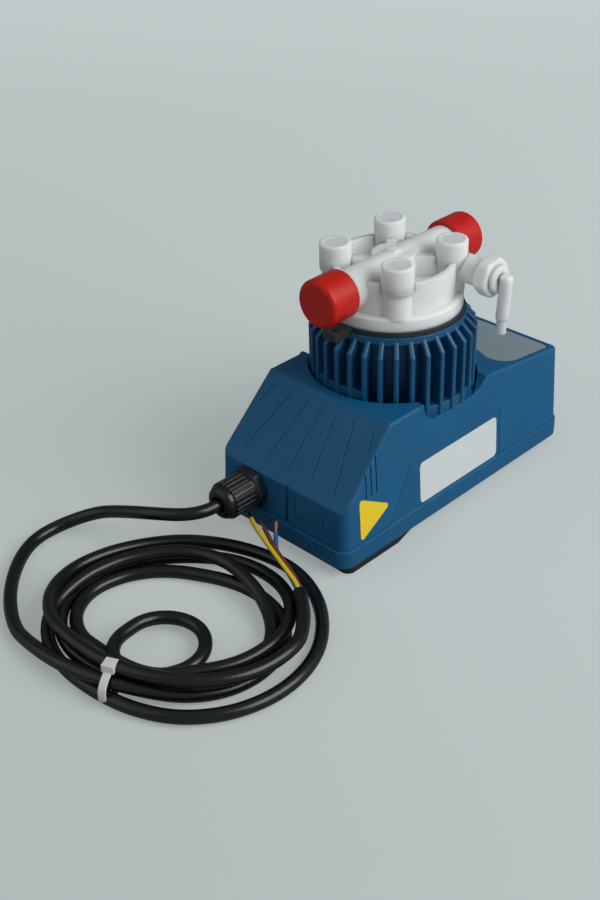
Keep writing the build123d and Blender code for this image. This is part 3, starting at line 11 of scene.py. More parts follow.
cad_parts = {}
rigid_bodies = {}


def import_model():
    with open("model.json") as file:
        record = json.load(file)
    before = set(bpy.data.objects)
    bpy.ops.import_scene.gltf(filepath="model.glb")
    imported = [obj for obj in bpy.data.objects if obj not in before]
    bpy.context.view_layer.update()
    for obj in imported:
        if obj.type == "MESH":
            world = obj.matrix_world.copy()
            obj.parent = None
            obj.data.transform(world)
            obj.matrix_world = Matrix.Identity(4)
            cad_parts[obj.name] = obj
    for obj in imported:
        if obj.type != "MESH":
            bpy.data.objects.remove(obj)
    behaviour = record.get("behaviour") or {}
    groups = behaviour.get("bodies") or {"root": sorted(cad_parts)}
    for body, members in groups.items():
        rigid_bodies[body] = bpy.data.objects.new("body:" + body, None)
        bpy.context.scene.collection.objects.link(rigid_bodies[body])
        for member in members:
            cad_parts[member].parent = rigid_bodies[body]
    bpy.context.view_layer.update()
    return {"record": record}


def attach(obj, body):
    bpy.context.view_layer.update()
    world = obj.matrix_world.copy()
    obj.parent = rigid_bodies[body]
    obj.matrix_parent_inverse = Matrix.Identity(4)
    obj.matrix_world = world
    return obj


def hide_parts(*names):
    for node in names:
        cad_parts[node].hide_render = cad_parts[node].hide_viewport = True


bl_info = {
    "name": "Diaphragm Metering Pump",
    "version": (1, 0, 0),
    "blender": (4, 5, 0),
    "location": "View3D > Sidebar > Pump",
    "description": "Finishes, mains lead and stage of a solenoid diaphragm metering pump",
    "category": "Object",
}

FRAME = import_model()
BASE = "base"
UP = Vector((0.0, 0.0, 1.0))

# The housing's own frame starts at the inlet end; the model's origin is the pump's bottom centre.
SHIFT = Vector((-0.09265, 0.0056, 0.0))


def mm(x, y, z):
    """Point of the housing's frame, in millimetres, as a place in the scene."""
    return Vector((x, y, z)) * 0.001 + SHIFT


# ---- settings ------------------------------------------------------------------------------
class LeadSettings(bpy.types.PropertyGroup):
    """Mains lead, its wires and its tie."""

    jacket_radius: FloatProperty(
        name="Jacket Radius",
        description="Outer radius of the lead",
        default=0.0039,
        min=0.001,
        unit="LENGTH",
    )
    length: FloatProperty(
        name="Length",
        description="Length of the lead from inside its gland to the end of its jacket",
        default=2.15,
        min=0.5,
        unit="LENGTH",
    )
    wire_radius: FloatProperty(
        name="Wire Radius",
        description="Outer radius of each insulated wire",
        default=0.00135,
        min=0.0005,
        unit="LENGTH",
    )
    strands: IntProperty(
        name="Strands",
        description="Fine copper strands at each bare end",
        default=9,
        min=3,
        max=30,
    )
    points_per_turn: IntProperty(
        name="Points per Turn",
        description="Control points in each full turn of the coil",
        default=18,
        min=12,
        max=40,
    )
    tie_width: FloatProperty(
        name="Tie Width",
        description="Width of the cable tie's strap",
        default=0.0045,
        min=0.001,
        unit="LENGTH",
    )
    tie_thickness: FloatProperty(
        name="Tie Thickness",
        description="Thickness of the cable tie's strap",
        default=0.0011,
        min=0.0003,
        unit="LENGTH",
    )


class FinishSettings(bpy.types.PropertyGroup):
    """Main colours of the pump, as linear values."""

    housing: FloatVectorProperty(
        name="Housing",
        description="Blue of the moulded housing",
        default=(0.0035, 0.100, 0.232),
        size=3,
        min=0.0,
        max=1.0,
        subtype="COLOR",
    )
    drum: FloatVectorProperty(
        name="Drum",
        description="Blue of the painted drum",
        default=(0.0035, 0.080, 0.190),
        size=3,
        min=0.0,
        max=1.0,
        subtype="COLOR",
    )
    caps: FloatVectorProperty(
        name="Port Caps",
        description="Red of the port caps",
        default=(0.55, 0.009, 0.0035),
        size=3,
        min=0.0,
        max=1.0,
        subtype="COLOR",
    )
    liquid_end: FloatVectorProperty(
        name="Liquid End",
        description="Natural white of the head and its valve",
        default=(0.81, 0.835, 0.815),
        size=3,
        min=0.0,
        max=1.0,
        subtype="COLOR",
    )
    grain: FloatProperty(
        name="Grain Size",
        description="Size of the mould texture's grain",
        default=0.0005,
        min=0.0001,
        precision=5,
        unit="LENGTH",
    )


class StageSettings(bpy.types.PropertyGroup):
    """Camera and light."""

    camera_place: FloatVectorProperty(
        name="Camera",
        description="Place of the camera in the housing's frame",
        default=(-0.44153, -0.47044, 0.48092),
        size=3,
        subtype="TRANSLATION",
        unit="LENGTH",
    )
    azimuth: FloatProperty(
        name="Azimuth",
        description="Where the camera stands round the pump; none is straight in front",
        default=math.radians(-44.45),
        subtype="ANGLE",
    )
    elevation: FloatProperty(
        name="Elevation",
        description="How far the camera looks down",
        default=math.radians(32.68),
        subtype="ANGLE",
    )
    roll: FloatProperty(
        name="Roll",
        description="Tilt of the camera about its line of sight",
        default=math.radians(-1.81),
        subtype="ANGLE",
    )
    focal_length: FloatProperty(
        name="Focal Length",
        description="Focal length on a sensor 36 mm high",
        default=53.36,
        min=10.0,
        subtype="DISTANCE_CAMERA",
    )
    key_power: FloatProperty(
        name="Key Light",
        description="Power of the large light above",
        default=18.5,
        min=0.0,
        unit="POWER",
    )
    fill_share: FloatProperty(
        name="Fill",
        description="Power of the fill light as a share of the key light",
        default=0.10,
        min=0.0,
        max=1.0,
    )
    sky: FloatProperty(
        name="Sky",
        description="Strength of the pale surroundings",
        default=0.27,
        min=0.0,
        max=5.0,
    )
    backdrop: FloatVectorProperty(
        name="Backdrop",
        description="Colour of the seamless background as the camera sees it",
        default=(0.52, 0.565, 0.565),
        size=3,
        min=0.0,
        max=1.0,
        subtype="COLOR",
    )
    # Painted light: the backdrop glows for the camera, at this strength nearest to it.
    backdrop_glow: FloatProperty(
        name="Backdrop Glow",
        description="Share of the background's tone that doesn't depend on the lights",
        default=0.42,
        min=0.0,
        max=1.0,
    )


# ---- routes and sizes ----------------------------------------------------------------------
# The lead in millimetres of the housing's frame. First the stretch that isn't coiled: out of the
# gland, down to the floor and round to the coil.
FREE_ROUTE = (
    (-4.6, 24.7, 30.4),
    (-19.8, 24.7, 30.4),
    (-34, 24.9, 30.4),
    (-46, 32.5, 30.2),
    (-55.5, 50, 28.3),
    (-60, 72, 21.5),
    (-63.5, 93, 13),
    (-80, 108, 5.5),
    (-101, 109.5, 4),
    (-122, 97, 4),
    (-143, 75, 4),
    (-157, 50, 4),
)
# Loose turns about one centre, wound the way the angle grows. Each run gives the angle that it
# starts at, then the radius and height at every KNOT_STEP degrees from there.
COIL_CENTRE = (-87, -10)
KNOT_STEP = 30
TURN_IN = (
    150,
    ((83, 6), (71, 11), (66, 9), (67, 4), (67, 4), (61, 4))
    + ((48, 4), (39.5, 4), (36.5, 4), (41.5, 4), (51, 4), (59.5, 4), (56, 4)),
)
# Under the top strand into the small loop, round it, and out again over its own start.
LOOP_ENTRY = ((-136, 1.5, 4), (-135.6, -14, 4), (-133, -28.5, 4), (-126.8, -40.8, 4.5))
LOOP_CENTRE = (-111, -24.5)
LOOP_TURN = (
    255,
    ((22, 5), (22, 5), (22, 5), (22.5, 5.5), (22.5, 6), (22, 7), (22, 8), (22, 9)),
)
LOOP_EXIT = (
    (-127, -4.7, 9.6),
    (-135.5, -10.5, 10.3),
    (-140.8, -20, 11),
    (-141, -31.5, 11.5),
    (-135.5, -43, 11.5),
    (-125, -52, 11.2),
)
TURNS_OUT = (
    255,
    ((58, 10.5), (62, 11), (61.5, 8.5), (59, 5), (56, 4), (53, 4), (57.5, 4), (65, 4), (67.5, 4))
    + ((62, 4), (57.5, 4), (59.5, 4), (60.5, 4), (57.5, 4), (48, 7.5), (42, 11.5))
    + ((45, 11.5), (49, 11.5), (52.5, 11.5), (62, 11), (74, 5.5), (71.5, 4), (71.5, 4))
    + ((80, 4), (84.5, 4), (83.5, 4), (78, 4), (74, 4), (68, 4.5), (64.5, 7.5), (65.5, 9.5))
    + ((72, 12), (73, 15), (63, 16), (61.5, 17), (66, 17), (73, 15), (75.5, 14.5)),
)
JACKET_END = ((-53, -73, 14.5), (-43.5, -63.5, 14.5), (-37, -54, 15))
# Each wire: where it sits round the jacket's end face, in degrees, and its points in millimetres.
WIRE_ROUTES = {
    "earth_wire": (100, ((-31, -37, 19), (-24, -16, 21), (-16, 4, 21.5), (-12.5, 9.8, 21))),
    "line_wire": (
        340,
        ((-29.5, -39, 18.5), (-22.5, -20, 20), (-15.5, -6, 20.5), (-13, -1.5, 20.2)),
    ),
    "neutral_wire": (
        250,
        ((-29.5, -40, 13.5), (-21, -20, 13.5), (-14.5, -12.5, 17.5), (-11.2, -9.5, 20)),
    ),
}
WIRE_NODES = {"earth_wire": "wire_earth", "line_wire": "wire_line", "neutral_wire": "wire_neutral"}
WIRE_SLOTS = {
    "earth_wire": "wire_green_yellow",
    "line_wire": "wire_brown",
    "neutral_wire": "wire_blue",
}
WIRE_SPREAD = 1.18  # distance of a wire from the jacket's middle, in wire radii
WIRE_INSIDE = 0.003  # how far a wire starts inside the jacket
WIRE_STRAIGHT = 0.005  # how far it runs straight on from the jacket's end
STRAND_RADIUS = 0.00024
STRAND_RING = 0.00052  # radius of the ring of strands about the middle one
STRAND_REACH = (-0.002, 0.0075)  # from inside the wire's cover to the tips
STRAND_STEPS = 12
STRAND_SIDES = 8
STRAND_TWIST = 160  # radians a metre
STRAND_SLACK = 0.15  # radians that a strand may start off its place
STRAND_FLARE = (10, 70)  # least and most that a strand's ring widens, as a share a metre

# The tie's place in millimetres, the bundle's direction there, and its inner half sizes in metres.
TIE_PLACE = (-149.5, -28, 8.2)
TIE_ALONG = (0.42, -0.91, 0)
TIE_HALF = (0.0112, 0.0083)
TIE_SIDES = 64
TIE_TAPER = 0.32  # how much narrower the strap is at the top
TIE_SQUARENESS = 0.62  # below one, the strap's upper and lower sides run flatter
TIE_HEAD_LENGTH = 0.0072
TIE_HEAD_HEIGHT = 0.0048
TIE_HEAD_MARGIN = 0.0026  # how much wider the head is than the strap
TIE_HEAD_RISE = 0.0012
TIE_EDGE = 0.0003

# Light and floor, in millimetres of the housing's frame where a place and in metres where a size.
LIGHT_TARGET = (40, 0, 40)
KEY_PLACE, KEY_SIZE = (420, -1150, 950), (1.3, 1.1)
FILL_PLACE, FILL_SIZE = (-900, 500, 700), (1.2, 1.2)
SKY_COLOUR = (0.86, 0.93, 0.95, 1.0)
FLOOR_REACH = 3.0  # how far the floor runs to the front and to each side
FLOOR_BACK = 2.0  # where the wall stands, behind the pump
FLOOR_SECTIONS = 40
WALL_HEIGHT = 3.5
BEND_RADIUS = 1.2
BEND_STEPS = 16
FLOOR_DROP = 0.0002  # gap that keeps the floor's face off the pump's underside
BACKDROP_DIFFUSE = 0.66  # share of the backdrop's colour that the lamps light
GLOW_RISE = 0.4  # how much the backdrop's painted glow grows from near to far
GLOW_DEPTHS = (-0.25, 1.1)  # metres ahead of the pump between which it grows


# ---- curves --------------------------------------------------------------------------------
def eased(at, knots):
    """Values between evenly spaced knots a and b with slopes m and n, by cubic Hermite blending.

    p(t) = (2t^3 - 3t^2 + 1) a + (t^3 - 2t^2 + t) m + (3t^2 - 2t^3) b + (t^3 - t^2) n
    """
    knots = np.asarray(knots, dtype=float)
    slope = np.gradient(knots, axis=0)
    low = np.clip(np.floor(at).astype(int), 0, len(knots) - 2)
    t = (at - low)[:, None]
    start, end = knots[low], knots[low + 1]
    return (
        (2 * t**3 - 3 * t**2 + 1) * start
        + (t**3 - 2 * t**2 + t) * slope[low]
        + (3 * t**2 - 2 * t**3) * end
        + (t**3 - t**2) * slope[low + 1]
    )


def turn_points(centre, turns, per_turn):
    """Points of loose turns: p(a) = centre + r(a) / cos(pi / n) (cos a, sin a).

    The division by cos(pi / n) makes up for the curve running inside its n points a turn.
    """
    first, knots = turns
    span = KNOT_STEP * (len(knots) - 1)
    count = max(3, round(span / 360 * per_turn))
    share = np.linspace(0.0, 1.0, count + 1)
    angle = np.radians(first + span * share)
    radius, z = eased(share * (len(knots) - 1), knots).T
    radius = radius / math.cos(math.pi / per_turn)
    return list(zip(centre[0] + radius * np.cos(angle), centre[1] + radius * np.sin(angle), z))


def lead_route(per_turn):
    """Every control point of the lead, from inside the gland to the end of the jacket."""
    route = [*FREE_ROUTE, *turn_points(COIL_CENTRE, TURN_IN, per_turn)]
    route += [*LOOP_ENTRY, *turn_points(LOOP_CENTRE, LOOP_TURN, per_turn), *LOOP_EXIT]
    route += [*turn_points(COIL_CENTRE, TURNS_OUT, per_turn), *JACKET_END]
    return [mm(*point) for point in route]


def linked(name, data):
    """New object of some data, linked to the scene."""
    piece = bpy.data.objects.new(name, data)
    bpy.context.scene.collection.objects.link(piece)
    return piece


def square_to(direction):
    """Level side and upward normal of a direction: s = d x z / |d x z|, u = s x d."""
    side = direction.cross(UP).normalized()
    return side, side.cross(direction)


def smooth_curve(name, points, radius, resolution=6):
    """Open NURBS curve along a route's control points with a round section.

    The section is bevel depth 1 times each point's radius, because Blender widens a curve's box
    by its points' radii.
    """
    curve = bpy.data.curves.new(name, "CURVE")
    curve.dimensions = "3D"
    spline = curve.splines.new("NURBS")
    spline.points.add(len(points) - 1)
    for place, point in zip(spline.points, points):
        place.co = (*point, 1.0)
        place.radius = radius
    spline.order_u = 3
    spline.use_endpoint_u = True
    spline.resolution_u = resolution
    curve.bevel_depth = 1.0
    curve.bevel_resolution = 6
    curve.use_fill_caps = True
    return linked(name, curve)


def spline_points(piece):
    """Places along a curve's evaluated spline, as an array."""
    bevel = piece.data.bevel_depth
    piece.data.bevel_depth = 0.0
    bpy.context.view_layer.update()
    depsgraph = bpy.context.evaluated_depsgraph_get()
    mesh = bpy.data.meshes.new_from_object(piece.evaluated_get(depsgraph))
    places = np.empty(len(mesh.vertices) * 3)
    mesh.vertices.foreach_get("co", places)
    bpy.data.meshes.remove(mesh)
    piece.data.bevel_depth = bevel
    return places.reshape(-1, 3)


# ---- mesh helpers --------------------------------------------------------------------------
def mesh_piece(name, vertices, faces):
    """Smooth mesh object at the origin from arrays of places and faces."""
    mesh = bpy.data.meshes.new(name)
    mesh.from_pydata([tuple(v) for v in vertices], [], [tuple(int(i) for i in f) for f in faces])
    mesh.update()
    mesh.shade_smooth()
    return linked(name, mesh)


def grid_faces(rows, columns, wrap_rows=False, wrap_columns=True):
    """Quads of a grid of vertices, counted row by row, closed where asked."""
    i = np.arange(rows if wrap_rows else rows - 1)[:, None]
    j = np.arange(columns if wrap_columns else columns - 1)[None, :]
    ni, nj = (i + 1) % rows, (j + 1) % columns
    corners = (i * columns + j, i * columns + nj, ni * columns + nj, ni * columns + j)
    return np.stack(np.broadcast_arrays(*corners), axis=-1).reshape(-1, 4)


def normals_along(path):
    """Two steady normals at each point of a path, as arrays: a = t x z / |t x z|, b = a x t."""
    tangent = np.gradient(path, axis=0)
    tangent /= np.linalg.norm(tangent, axis=1)[:, None]
    side = np.cross(tangent, np.array(UP))
    side /= np.linalg.norm(side, axis=1)[:, None]
    return side, np.cross(side, tangent)


def swept_tube(name, path, radius, sides):
    """Tube p(u, v) = c(u) + r (cos v a(u) + sin v b(u)) along a path, with closed ends."""
    a, b = normals_along(path)
    v = np.linspace(0.0, 2 * np.pi, sides, endpoint=False)
    around = np.cos(v)[None, :, None] * a[:, None, :] + np.sin(v)[None, :, None] * b[:, None, :]
    vertices = (path[:, None, :] + radius * around).reshape(-1, 3)
    faces = [tuple(face) for face in grid_faces(len(path), sides)[:, ::-1]]
    last = (len(path) - 1) * sides
    faces.append(tuple(range(sides)))
    faces.append(tuple(range(last + sides - 1, last - 1, -1)))
    return mesh_piece(name, vertices, faces)


def joined(name, pieces):
    """One smooth mesh object from several, which are removed."""
    mesh = bmesh.new()
    for piece in pieces:
        mesh.from_mesh(piece.data)
        bpy.data.objects.remove(piece)
    whole = bpy.data.meshes.new(name)
    mesh.to_mesh(whole)
    mesh.free()
    whole.shade_smooth()
    return linked(name, whole)


def round_edges(piece, width, segments):
    """Rounded edges on a mesh piece."""
    modifier = piece.modifiers.new("Rounded Edges", "BEVEL")
    modifier.width = width
    modifier.segments = segments
    modifier.limit_method = "ANGLE"
    modifier.harden_normals = True


# ---- shader groups -------------------------------------------------------------------------
def new_group(name, inputs, outputs):
    """Empty shader group with inputs (name, default, lowest, highest) and outputs (name, type)."""
    group = bpy.data.node_groups.new(name, "ShaderNodeTree")
    for label, default, low, high in inputs:
        socket = group.interface.new_socket(label, in_out="INPUT", socket_type="NodeSocketFloat")
        socket.default_value = default
        socket.min_value = low
        socket.max_value = high
    for label, kind in outputs:
        group.interface.new_socket(label, in_out="OUTPUT", socket_type=kind)
    entry = group.nodes.new("NodeGroupInput")
    leave = group.nodes.new("NodeGroupOutput")
    return group, entry, leave


def put(tree, socket, value):
    """Joins another node's socket to an input, or sets a plain value on it."""
    if isinstance(value, bpy.types.NodeSocket):
        tree.links.new(value, socket)
    else:
        socket.default_value = value


def set_inputs(node, values):
    """Plain values on a node's inputs, named with _ for each space."""
    for label, value in values.items():
        node.inputs[label.replace("_", " ")].default_value = value


def math_node(tree, operation, a, b):
    """Math node between two sockets or numbers."""
    node = tree.nodes.new("ShaderNodeMath")
    node.operation = operation
    put(tree, node.inputs[0], a)
    put(tree, node.inputs[1], b)
    return node.outputs[0]


def dot_product(tree, a, b):
    """Dot product of two vectors, sockets or plain ones."""
    node = tree.nodes.new("ShaderNodeVectorMath")
    node.operation = "DOT_PRODUCT"
    put(tree, node.inputs[0], a)
    put(tree, node.inputs[1], b)
    return node.outputs["Value"]


def ranged(tree, value, low, high, to_low, to_high):
    """Value mapped from one range to another and kept inside it."""
    node = tree.nodes.new("ShaderNodeMapRange")
    tree.links.new(value, node.inputs["Value"])
    set_inputs(node, {"From_Min": low, "From_Max": high, "To_Min": to_low, "To_Max": to_high})
    return node.outputs["Result"]


def mixed(tree, factor, a, b):
    """Colour between two colours, sockets or plain ones, by a factor socket."""
    node = tree.nodes.new("ShaderNodeMix")
    node.data_type = "RGBA"
    tree.links.new(factor, node.inputs[0])
    for socket, value in ((node.inputs[6], a), (node.inputs[7], b)):
        put(tree, socket, value if isinstance(value, bpy.types.NodeSocket) else (*value, 1.0))
    return node.outputs[2]


def noise(tree, vector, scale, detail, roughness=0.5):
    """Noise over a vector; the scale is a number or a socket."""
    node = tree.nodes.new("ShaderNodeTexNoise")
    node.inputs["Detail"].default_value = detail
    node.inputs["Roughness"].default_value = roughness
    tree.links.new(vector, node.inputs["Vector"])
    put(tree, node.inputs["Scale"], scale)
    return node.outputs["Fac"]


def bumped(tree, height, distance, strength):
    """Bump node for a height socket over a distance socket."""
    bump = tree.nodes.new("ShaderNodeBump")
    bump.inputs["Strength"].default_value = strength
    tree.links.new(height, bump.inputs["Height"])
    tree.links.new(distance, bump.inputs["Distance"])
    return bump


def object_coordinates(tree):
    """Coordinates of the object that is shaded, in metres."""
    return tree.nodes.new("ShaderNodeTexCoord").outputs["Object"]


def grain_group():
    """Mould texture: fine grain, a tone with faint flow marks, and where the edges are.

    An edge is where the rounded normal n' leaves the true one: n . n' falls from 1 to 0.86.
    """
    group, entry, leave = new_group(
        "Mould Grain",
        (
            ("Grain Size", 0.0005, 0.00005, 0.01),
            ("Grain Height", 0.00004, 0.0, 0.001),
            ("Edge Radius", 0.0006, 0.0, 0.005),
        ),
        (
            ("Tone", "NodeSocketFloat"),
            ("Roughness Shift", "NodeSocketFloat"),
            ("Edge", "NodeSocketFloat"),
            ("Normal", "NodeSocketVector"),
        ),
    )
    place = object_coordinates(group)
    fine_scale = math_node(group, "DIVIDE", 1.0, entry.outputs["Grain Size"])
    fine = noise(group, place, fine_scale, detail=3.0, roughness=0.6)
    broad = noise(group, place, scale=28.0, detail=4.0, roughness=0.55)
    flow = noise(group, place, scale=9.0, detail=2.0)
    broad_part = math_node(group, "MULTIPLY", broad, 0.55)
    flow_part = math_node(group, "MULTIPLY", flow, 0.45)
    tone = math_node(group, "ADD", broad_part, flow_part)
    rounded = group.nodes.new("ShaderNodeBevel")
    rounded.samples = 4
    group.links.new(entry.outputs["Edge Radius"], rounded.inputs["Radius"])
    bump = bumped(group, fine, entry.outputs["Grain Height"], 1.0)
    group.links.new(rounded.outputs["Normal"], bump.inputs["Normal"])
    true_normal = group.nodes.new("ShaderNodeNewGeometry").outputs["Normal"]
    turned = dot_product(group, true_normal, rounded.outputs["Normal"])
    group.links.new(ranged(group, tone, 0.3, 0.7, 0.0, 1.0), leave.inputs["Tone"])
    group.links.new(ranged(group, fine, 0.3, 0.7, -0.06, 0.06), leave.inputs["Roughness Shift"])
    group.links.new(ranged(group, turned, 1.0, 0.86, 0.0, 1.0), leave.inputs["Edge"])
    group.links.new(bump.outputs["Normal"], leave.inputs["Normal"])
    return group


def machined_group():
    """Turned or drawn metal: fine rings about the upright axis and light tarnish."""
    group, entry, leave = new_group(
        "Machined Metal",
        (("Ring Scale", 900.0, 10.0, 5000.0), ("Ring Height", 0.00001, 0.0, 0.001)),
        (
            ("Tarnish", "NodeSocketFloat"),
            ("Roughness Shift", "NodeSocketFloat"),
            ("Normal", "NodeSocketVector"),
        ),
    )
    place = object_coordinates(group)
    stretch = group.nodes.new("ShaderNodeMapping")
    stretch.inputs["Scale"].default_value = (0.06, 0.06, 1.0)
    group.links.new(place, stretch.inputs["Vector"])
    ring_scale = entry.outputs["Ring Scale"]
    rings = noise(group, stretch.outputs["Vector"], ring_scale, detail=4.0, roughness=0.7)
    bump = bumped(group, rings, entry.outputs["Ring Height"], 0.8)
    tarnish = noise(group, place, scale=45.0, detail=5.0, roughness=0.6)
    group.links.new(ranged(group, tarnish, 0.35, 0.72, 0.0, 1.0), leave.inputs["Tarnish"])
    group.links.new(ranged(group, rings, 0.3, 0.7, -0.08, 0.1), leave.inputs["Roughness Shift"])
    group.links.new(bump.outputs["Normal"], leave.inputs["Normal"])
    return group


def shared_group(name):
    """Shader group by name, built the first time it is asked for."""
    makers = {"Mould Grain": grain_group, "Machined Metal": machined_group}
    return bpy.data.node_groups.get(name) or makers[name]()


# ---- materials -----------------------------------------------------------------------------
def start_material(name, group_name, roughness, **group_values):
    """Material whose Principled shader takes its normal and roughness from one shared group."""
    material = bpy.data.materials.new(name)
    material.use_nodes = True
    tree = material.node_tree
    shader = tree.nodes["Principled BSDF"]
    effects = tree.nodes.new("ShaderNodeGroup")
    effects.node_tree = shared_group(group_name)
    set_inputs(effects, group_values)
    tree.links.new(effects.outputs["Normal"], shader.inputs["Normal"])
    shifted = math_node(tree, "ADD", effects.outputs["Roughness Shift"], roughness)
    tree.links.new(shifted, shader.inputs["Roughness"])
    return material, tree, shader, effects


def shade(colour, factor):
    """Colour made lighter or darker."""
    return tuple(min(1.0, channel * factor) for channel in colour)


def moulded(name, colour, roughness, grain, height, edge, spread, edge_sheen, **shader_values):
    """Moulded plastic, rubber or paint: mottled tone, fine grain, and a painted highlight on edges.
    """
    material, tree, shader, effects = start_material(
        name, "Mould Grain", roughness, Grain_Size=grain, Grain_Height=height, Edge_Radius=edge
    )
    tone = effects.outputs["Tone"]
    body = mixed(tree, tone, shade(colour, 1 - spread), shade(colour, 1 + spread))
    # Painted highlight: every rounded edge is made lighter in the colour itself, whatever the lamps
    # do.
    sheened_edges = mixed(tree, effects.outputs["Edge"], body, shade(colour, edge_sheen))
    tree.links.new(sheened_edges, shader.inputs["Base Color"])
    set_inputs(shader, shader_values)
    return material


def metal(name, colour, roughness, rings, height, tarnish):
    """Bare metal with fine tool marks and a little tarnish."""
    material, tree, shader, effects = start_material(
        name, "Machined Metal", roughness, Ring_Scale=rings, Ring_Height=height
    )
    shader.inputs["Metallic"].default_value = 1.0
    body = mixed(tree, effects.outputs["Tarnish"], colour, shade(colour, tarnish))
    tree.links.new(body, shader.inputs["Base Color"])
    return material


def translucent_white(name, colour, roughness, depth):
    """Milky fluoropolymer that lets some light in."""
    return moulded(
        name,
        colour,
        roughness,
        grain=0.0009,
        height=0.00002,
        edge=0.0009,
        spread=0.03,
        edge_sheen=1.06,
        Subsurface_Weight=0.9,
        Subsurface_Scale=depth,
        Subsurface_Radius=(1.0, 0.93, 0.82),
        IOR=1.42,
        Specular_IOR_Level=0.35,
    )


def two_colour_wire():
    """Green and yellow cover: a stripe along the wire, from the curve's own coordinates."""
    material, tree, shader, _ = start_material(
        "Earth Wire Cover", "Mould Grain", 0.42, Grain_Size=0.0004
    )
    place = tree.nodes.new("ShaderNodeUVMap").outputs["UV"]
    split = tree.nodes.new("ShaderNodeSeparateXYZ")
    tree.links.new(place, split.inputs[0])
    stripe = ranged(tree, split.outputs["Y"], 0.60, 0.63, 0.0, 1.0)
    colour = mixed(tree, stripe, (0.78, 0.52, 0.02), (0.05, 0.22, 0.03))
    tree.links.new(colour, shader.inputs["Base Color"])
    return material


def copper_winding():
    """Enamelled winding: fine turns stacked along the upright axis."""
    material, tree, shader, _ = start_material(
        "Copper Winding", "Machined Metal", 0.32, Ring_Scale=2200.0, Ring_Height=0.00005
    )
    wave = tree.nodes.new("ShaderNodeTexWave")
    wave.bands_direction = "Z"
    wave.inputs["Scale"].default_value = 700.0
    tree.links.new(object_coordinates(tree), wave.inputs["Vector"])
    turns = mixed(tree, wave.outputs["Fac"], (0.30, 0.10, 0.03), (0.72, 0.33, 0.13))
    tree.links.new(turns, shader.inputs["Base Color"])
    shader.inputs["Metallic"].default_value = 0.9
    return material


def circuit_laminate():
    """Green solder mask over a grid of faint tracks."""
    material, tree, shader, _ = start_material(
        "Circuit Laminate", "Mould Grain", 0.28, Grain_Size=0.0006
    )
    bricks = tree.nodes.new("ShaderNodeTexBrick")
    bricks.inputs["Scale"].default_value = 210.0
    bricks.inputs["Color1"].default_value = (0.008, 0.10, 0.035, 1.0)
    bricks.inputs["Color2"].default_value = (0.010, 0.14, 0.05, 1.0)
    bricks.inputs["Mortar"].default_value = (0.02, 0.22, 0.08, 1.0)
    bricks.inputs["Mortar Size"].default_value = 0.03
    tree.links.new(object_coordinates(tree), bricks.inputs["Vector"])
    tree.links.new(bricks.outputs["Color"], shader.inputs["Base Color"])
    return material


def lead_jacket():
    """Rubber jacket: satin black with fine grain and a mottled tone."""
    material, tree, shader, effects = start_material(
        "Lead Rubber",
        "Mould Grain",
        0.25,
        Grain_Size=0.0009,
        Grain_Height=0.00003,
        Edge_Radius=0.0003,
    )
    dark, light = (0.0042, 0.005, 0.0056), (0.0075, 0.0088, 0.0096)
    tree.links.new(mixed(tree, effects.outputs["Tone"], dark, light), shader.inputs["Base Color"])
    return material


NYLON_BLACK = (0.008, 0.009, 0.010)
PTFE_WHITE = (0.82, 0.82, 0.80)
WIRE_BROWN, WIRE_BLUE = (0.16, 0.045, 0.022), (0.015, 0.12, 0.36)
# Moulded, pressed and painted finishes of set colour: name, colour, roughness, grain size, grain
# height, edge radius, spread of the tone, and brightness of the painted highlight on the edges.
MOULDED = {
    "black_plastic": ("Bracket Nylon", NYLON_BLACK, 0.50, 0.0006, 0.00005, 0.0008, 0.2, 2.2),
    "black_ring": ("Black Ring", (0.020, 0.024, 0.026), 0.48, 0.0005, 0.00004, 0.0005, 0.2, 2.0),
    "gland_black": ("Gland Nylon", (0.009, 0.010, 0.012), 0.30, 0.0004, 0.00002, 0.0006, 0.2, 2.4),
    "black_rubber": ("Seal Rubber", (0.012, 0.012, 0.013), 0.62, 0.0005, 0.00004, 0.0003, 0.2, 1.5),
    "dark_nylon": ("Dark Nylon", (0.02, 0.02, 0.021), 0.42, 0.0005, 0.00003, 0.0004, 0.2, 1.8),
    "white_ptfe": ("Pressed Fluoropolymer", PTFE_WHITE, 0.40, 0.0008, 0.00002, 0.0004, 0.04, 1.05),
    "ceramic": ("Ceramic", (0.85, 0.83, 0.78), 0.12, 0.0006, 0.000005, 0.0003, 0.03, 1.0),
    "panel_grey": ("Panel Film", (0.235, 0.300, 0.345), 0.44, 0.0004, 0.00002, 0.0003, 0.05, 1.3),
    "label_film": ("Label Film", (0.76, 0.80, 0.80), 0.34, 0.0006, 0.000008, 0.0002, 0.03, 1.05),
    "yellow_film": ("Yellow Film", (0.92, 0.66, 0.012), 0.40, 0.0006, 0.00001, 0.0002, 0.05, 1.05),
    "wire_brown": ("Brown Wire Cover", WIRE_BROWN, 0.42, 0.0004, 0.00001, 0.0002, 0.1, 1.2),
    "wire_blue": ("Blue Wire Cover", WIRE_BLUE, 0.40, 0.0004, 0.00001, 0.0002, 0.1, 1.2),
    "tie_nylon": ("Tie Nylon", (0.72, 0.74, 0.72), 0.36, 0.0006, 0.00002, 0.0003, 0.03, 1.1),
}
# Further shader values of a slot.
SHADER_VALUES = {
    "blue_plastic": {"Specular_IOR_Level": 0.36},
    "blue_cover": {"Specular_IOR_Level": 0.36},
    "red_plastic": {
        "Subsurface_Weight": 0.45,
        "Subsurface_Scale": 0.006,
        "Specular_IOR_Level": 0.35,
    },
    "ceramic": {"Coat_Weight": 0.5},
    "label_film": {"Metallic": 0.15},
    "tie_nylon": {"Subsurface_Weight": 0.4, "Subsurface_Scale": 0.001},
}
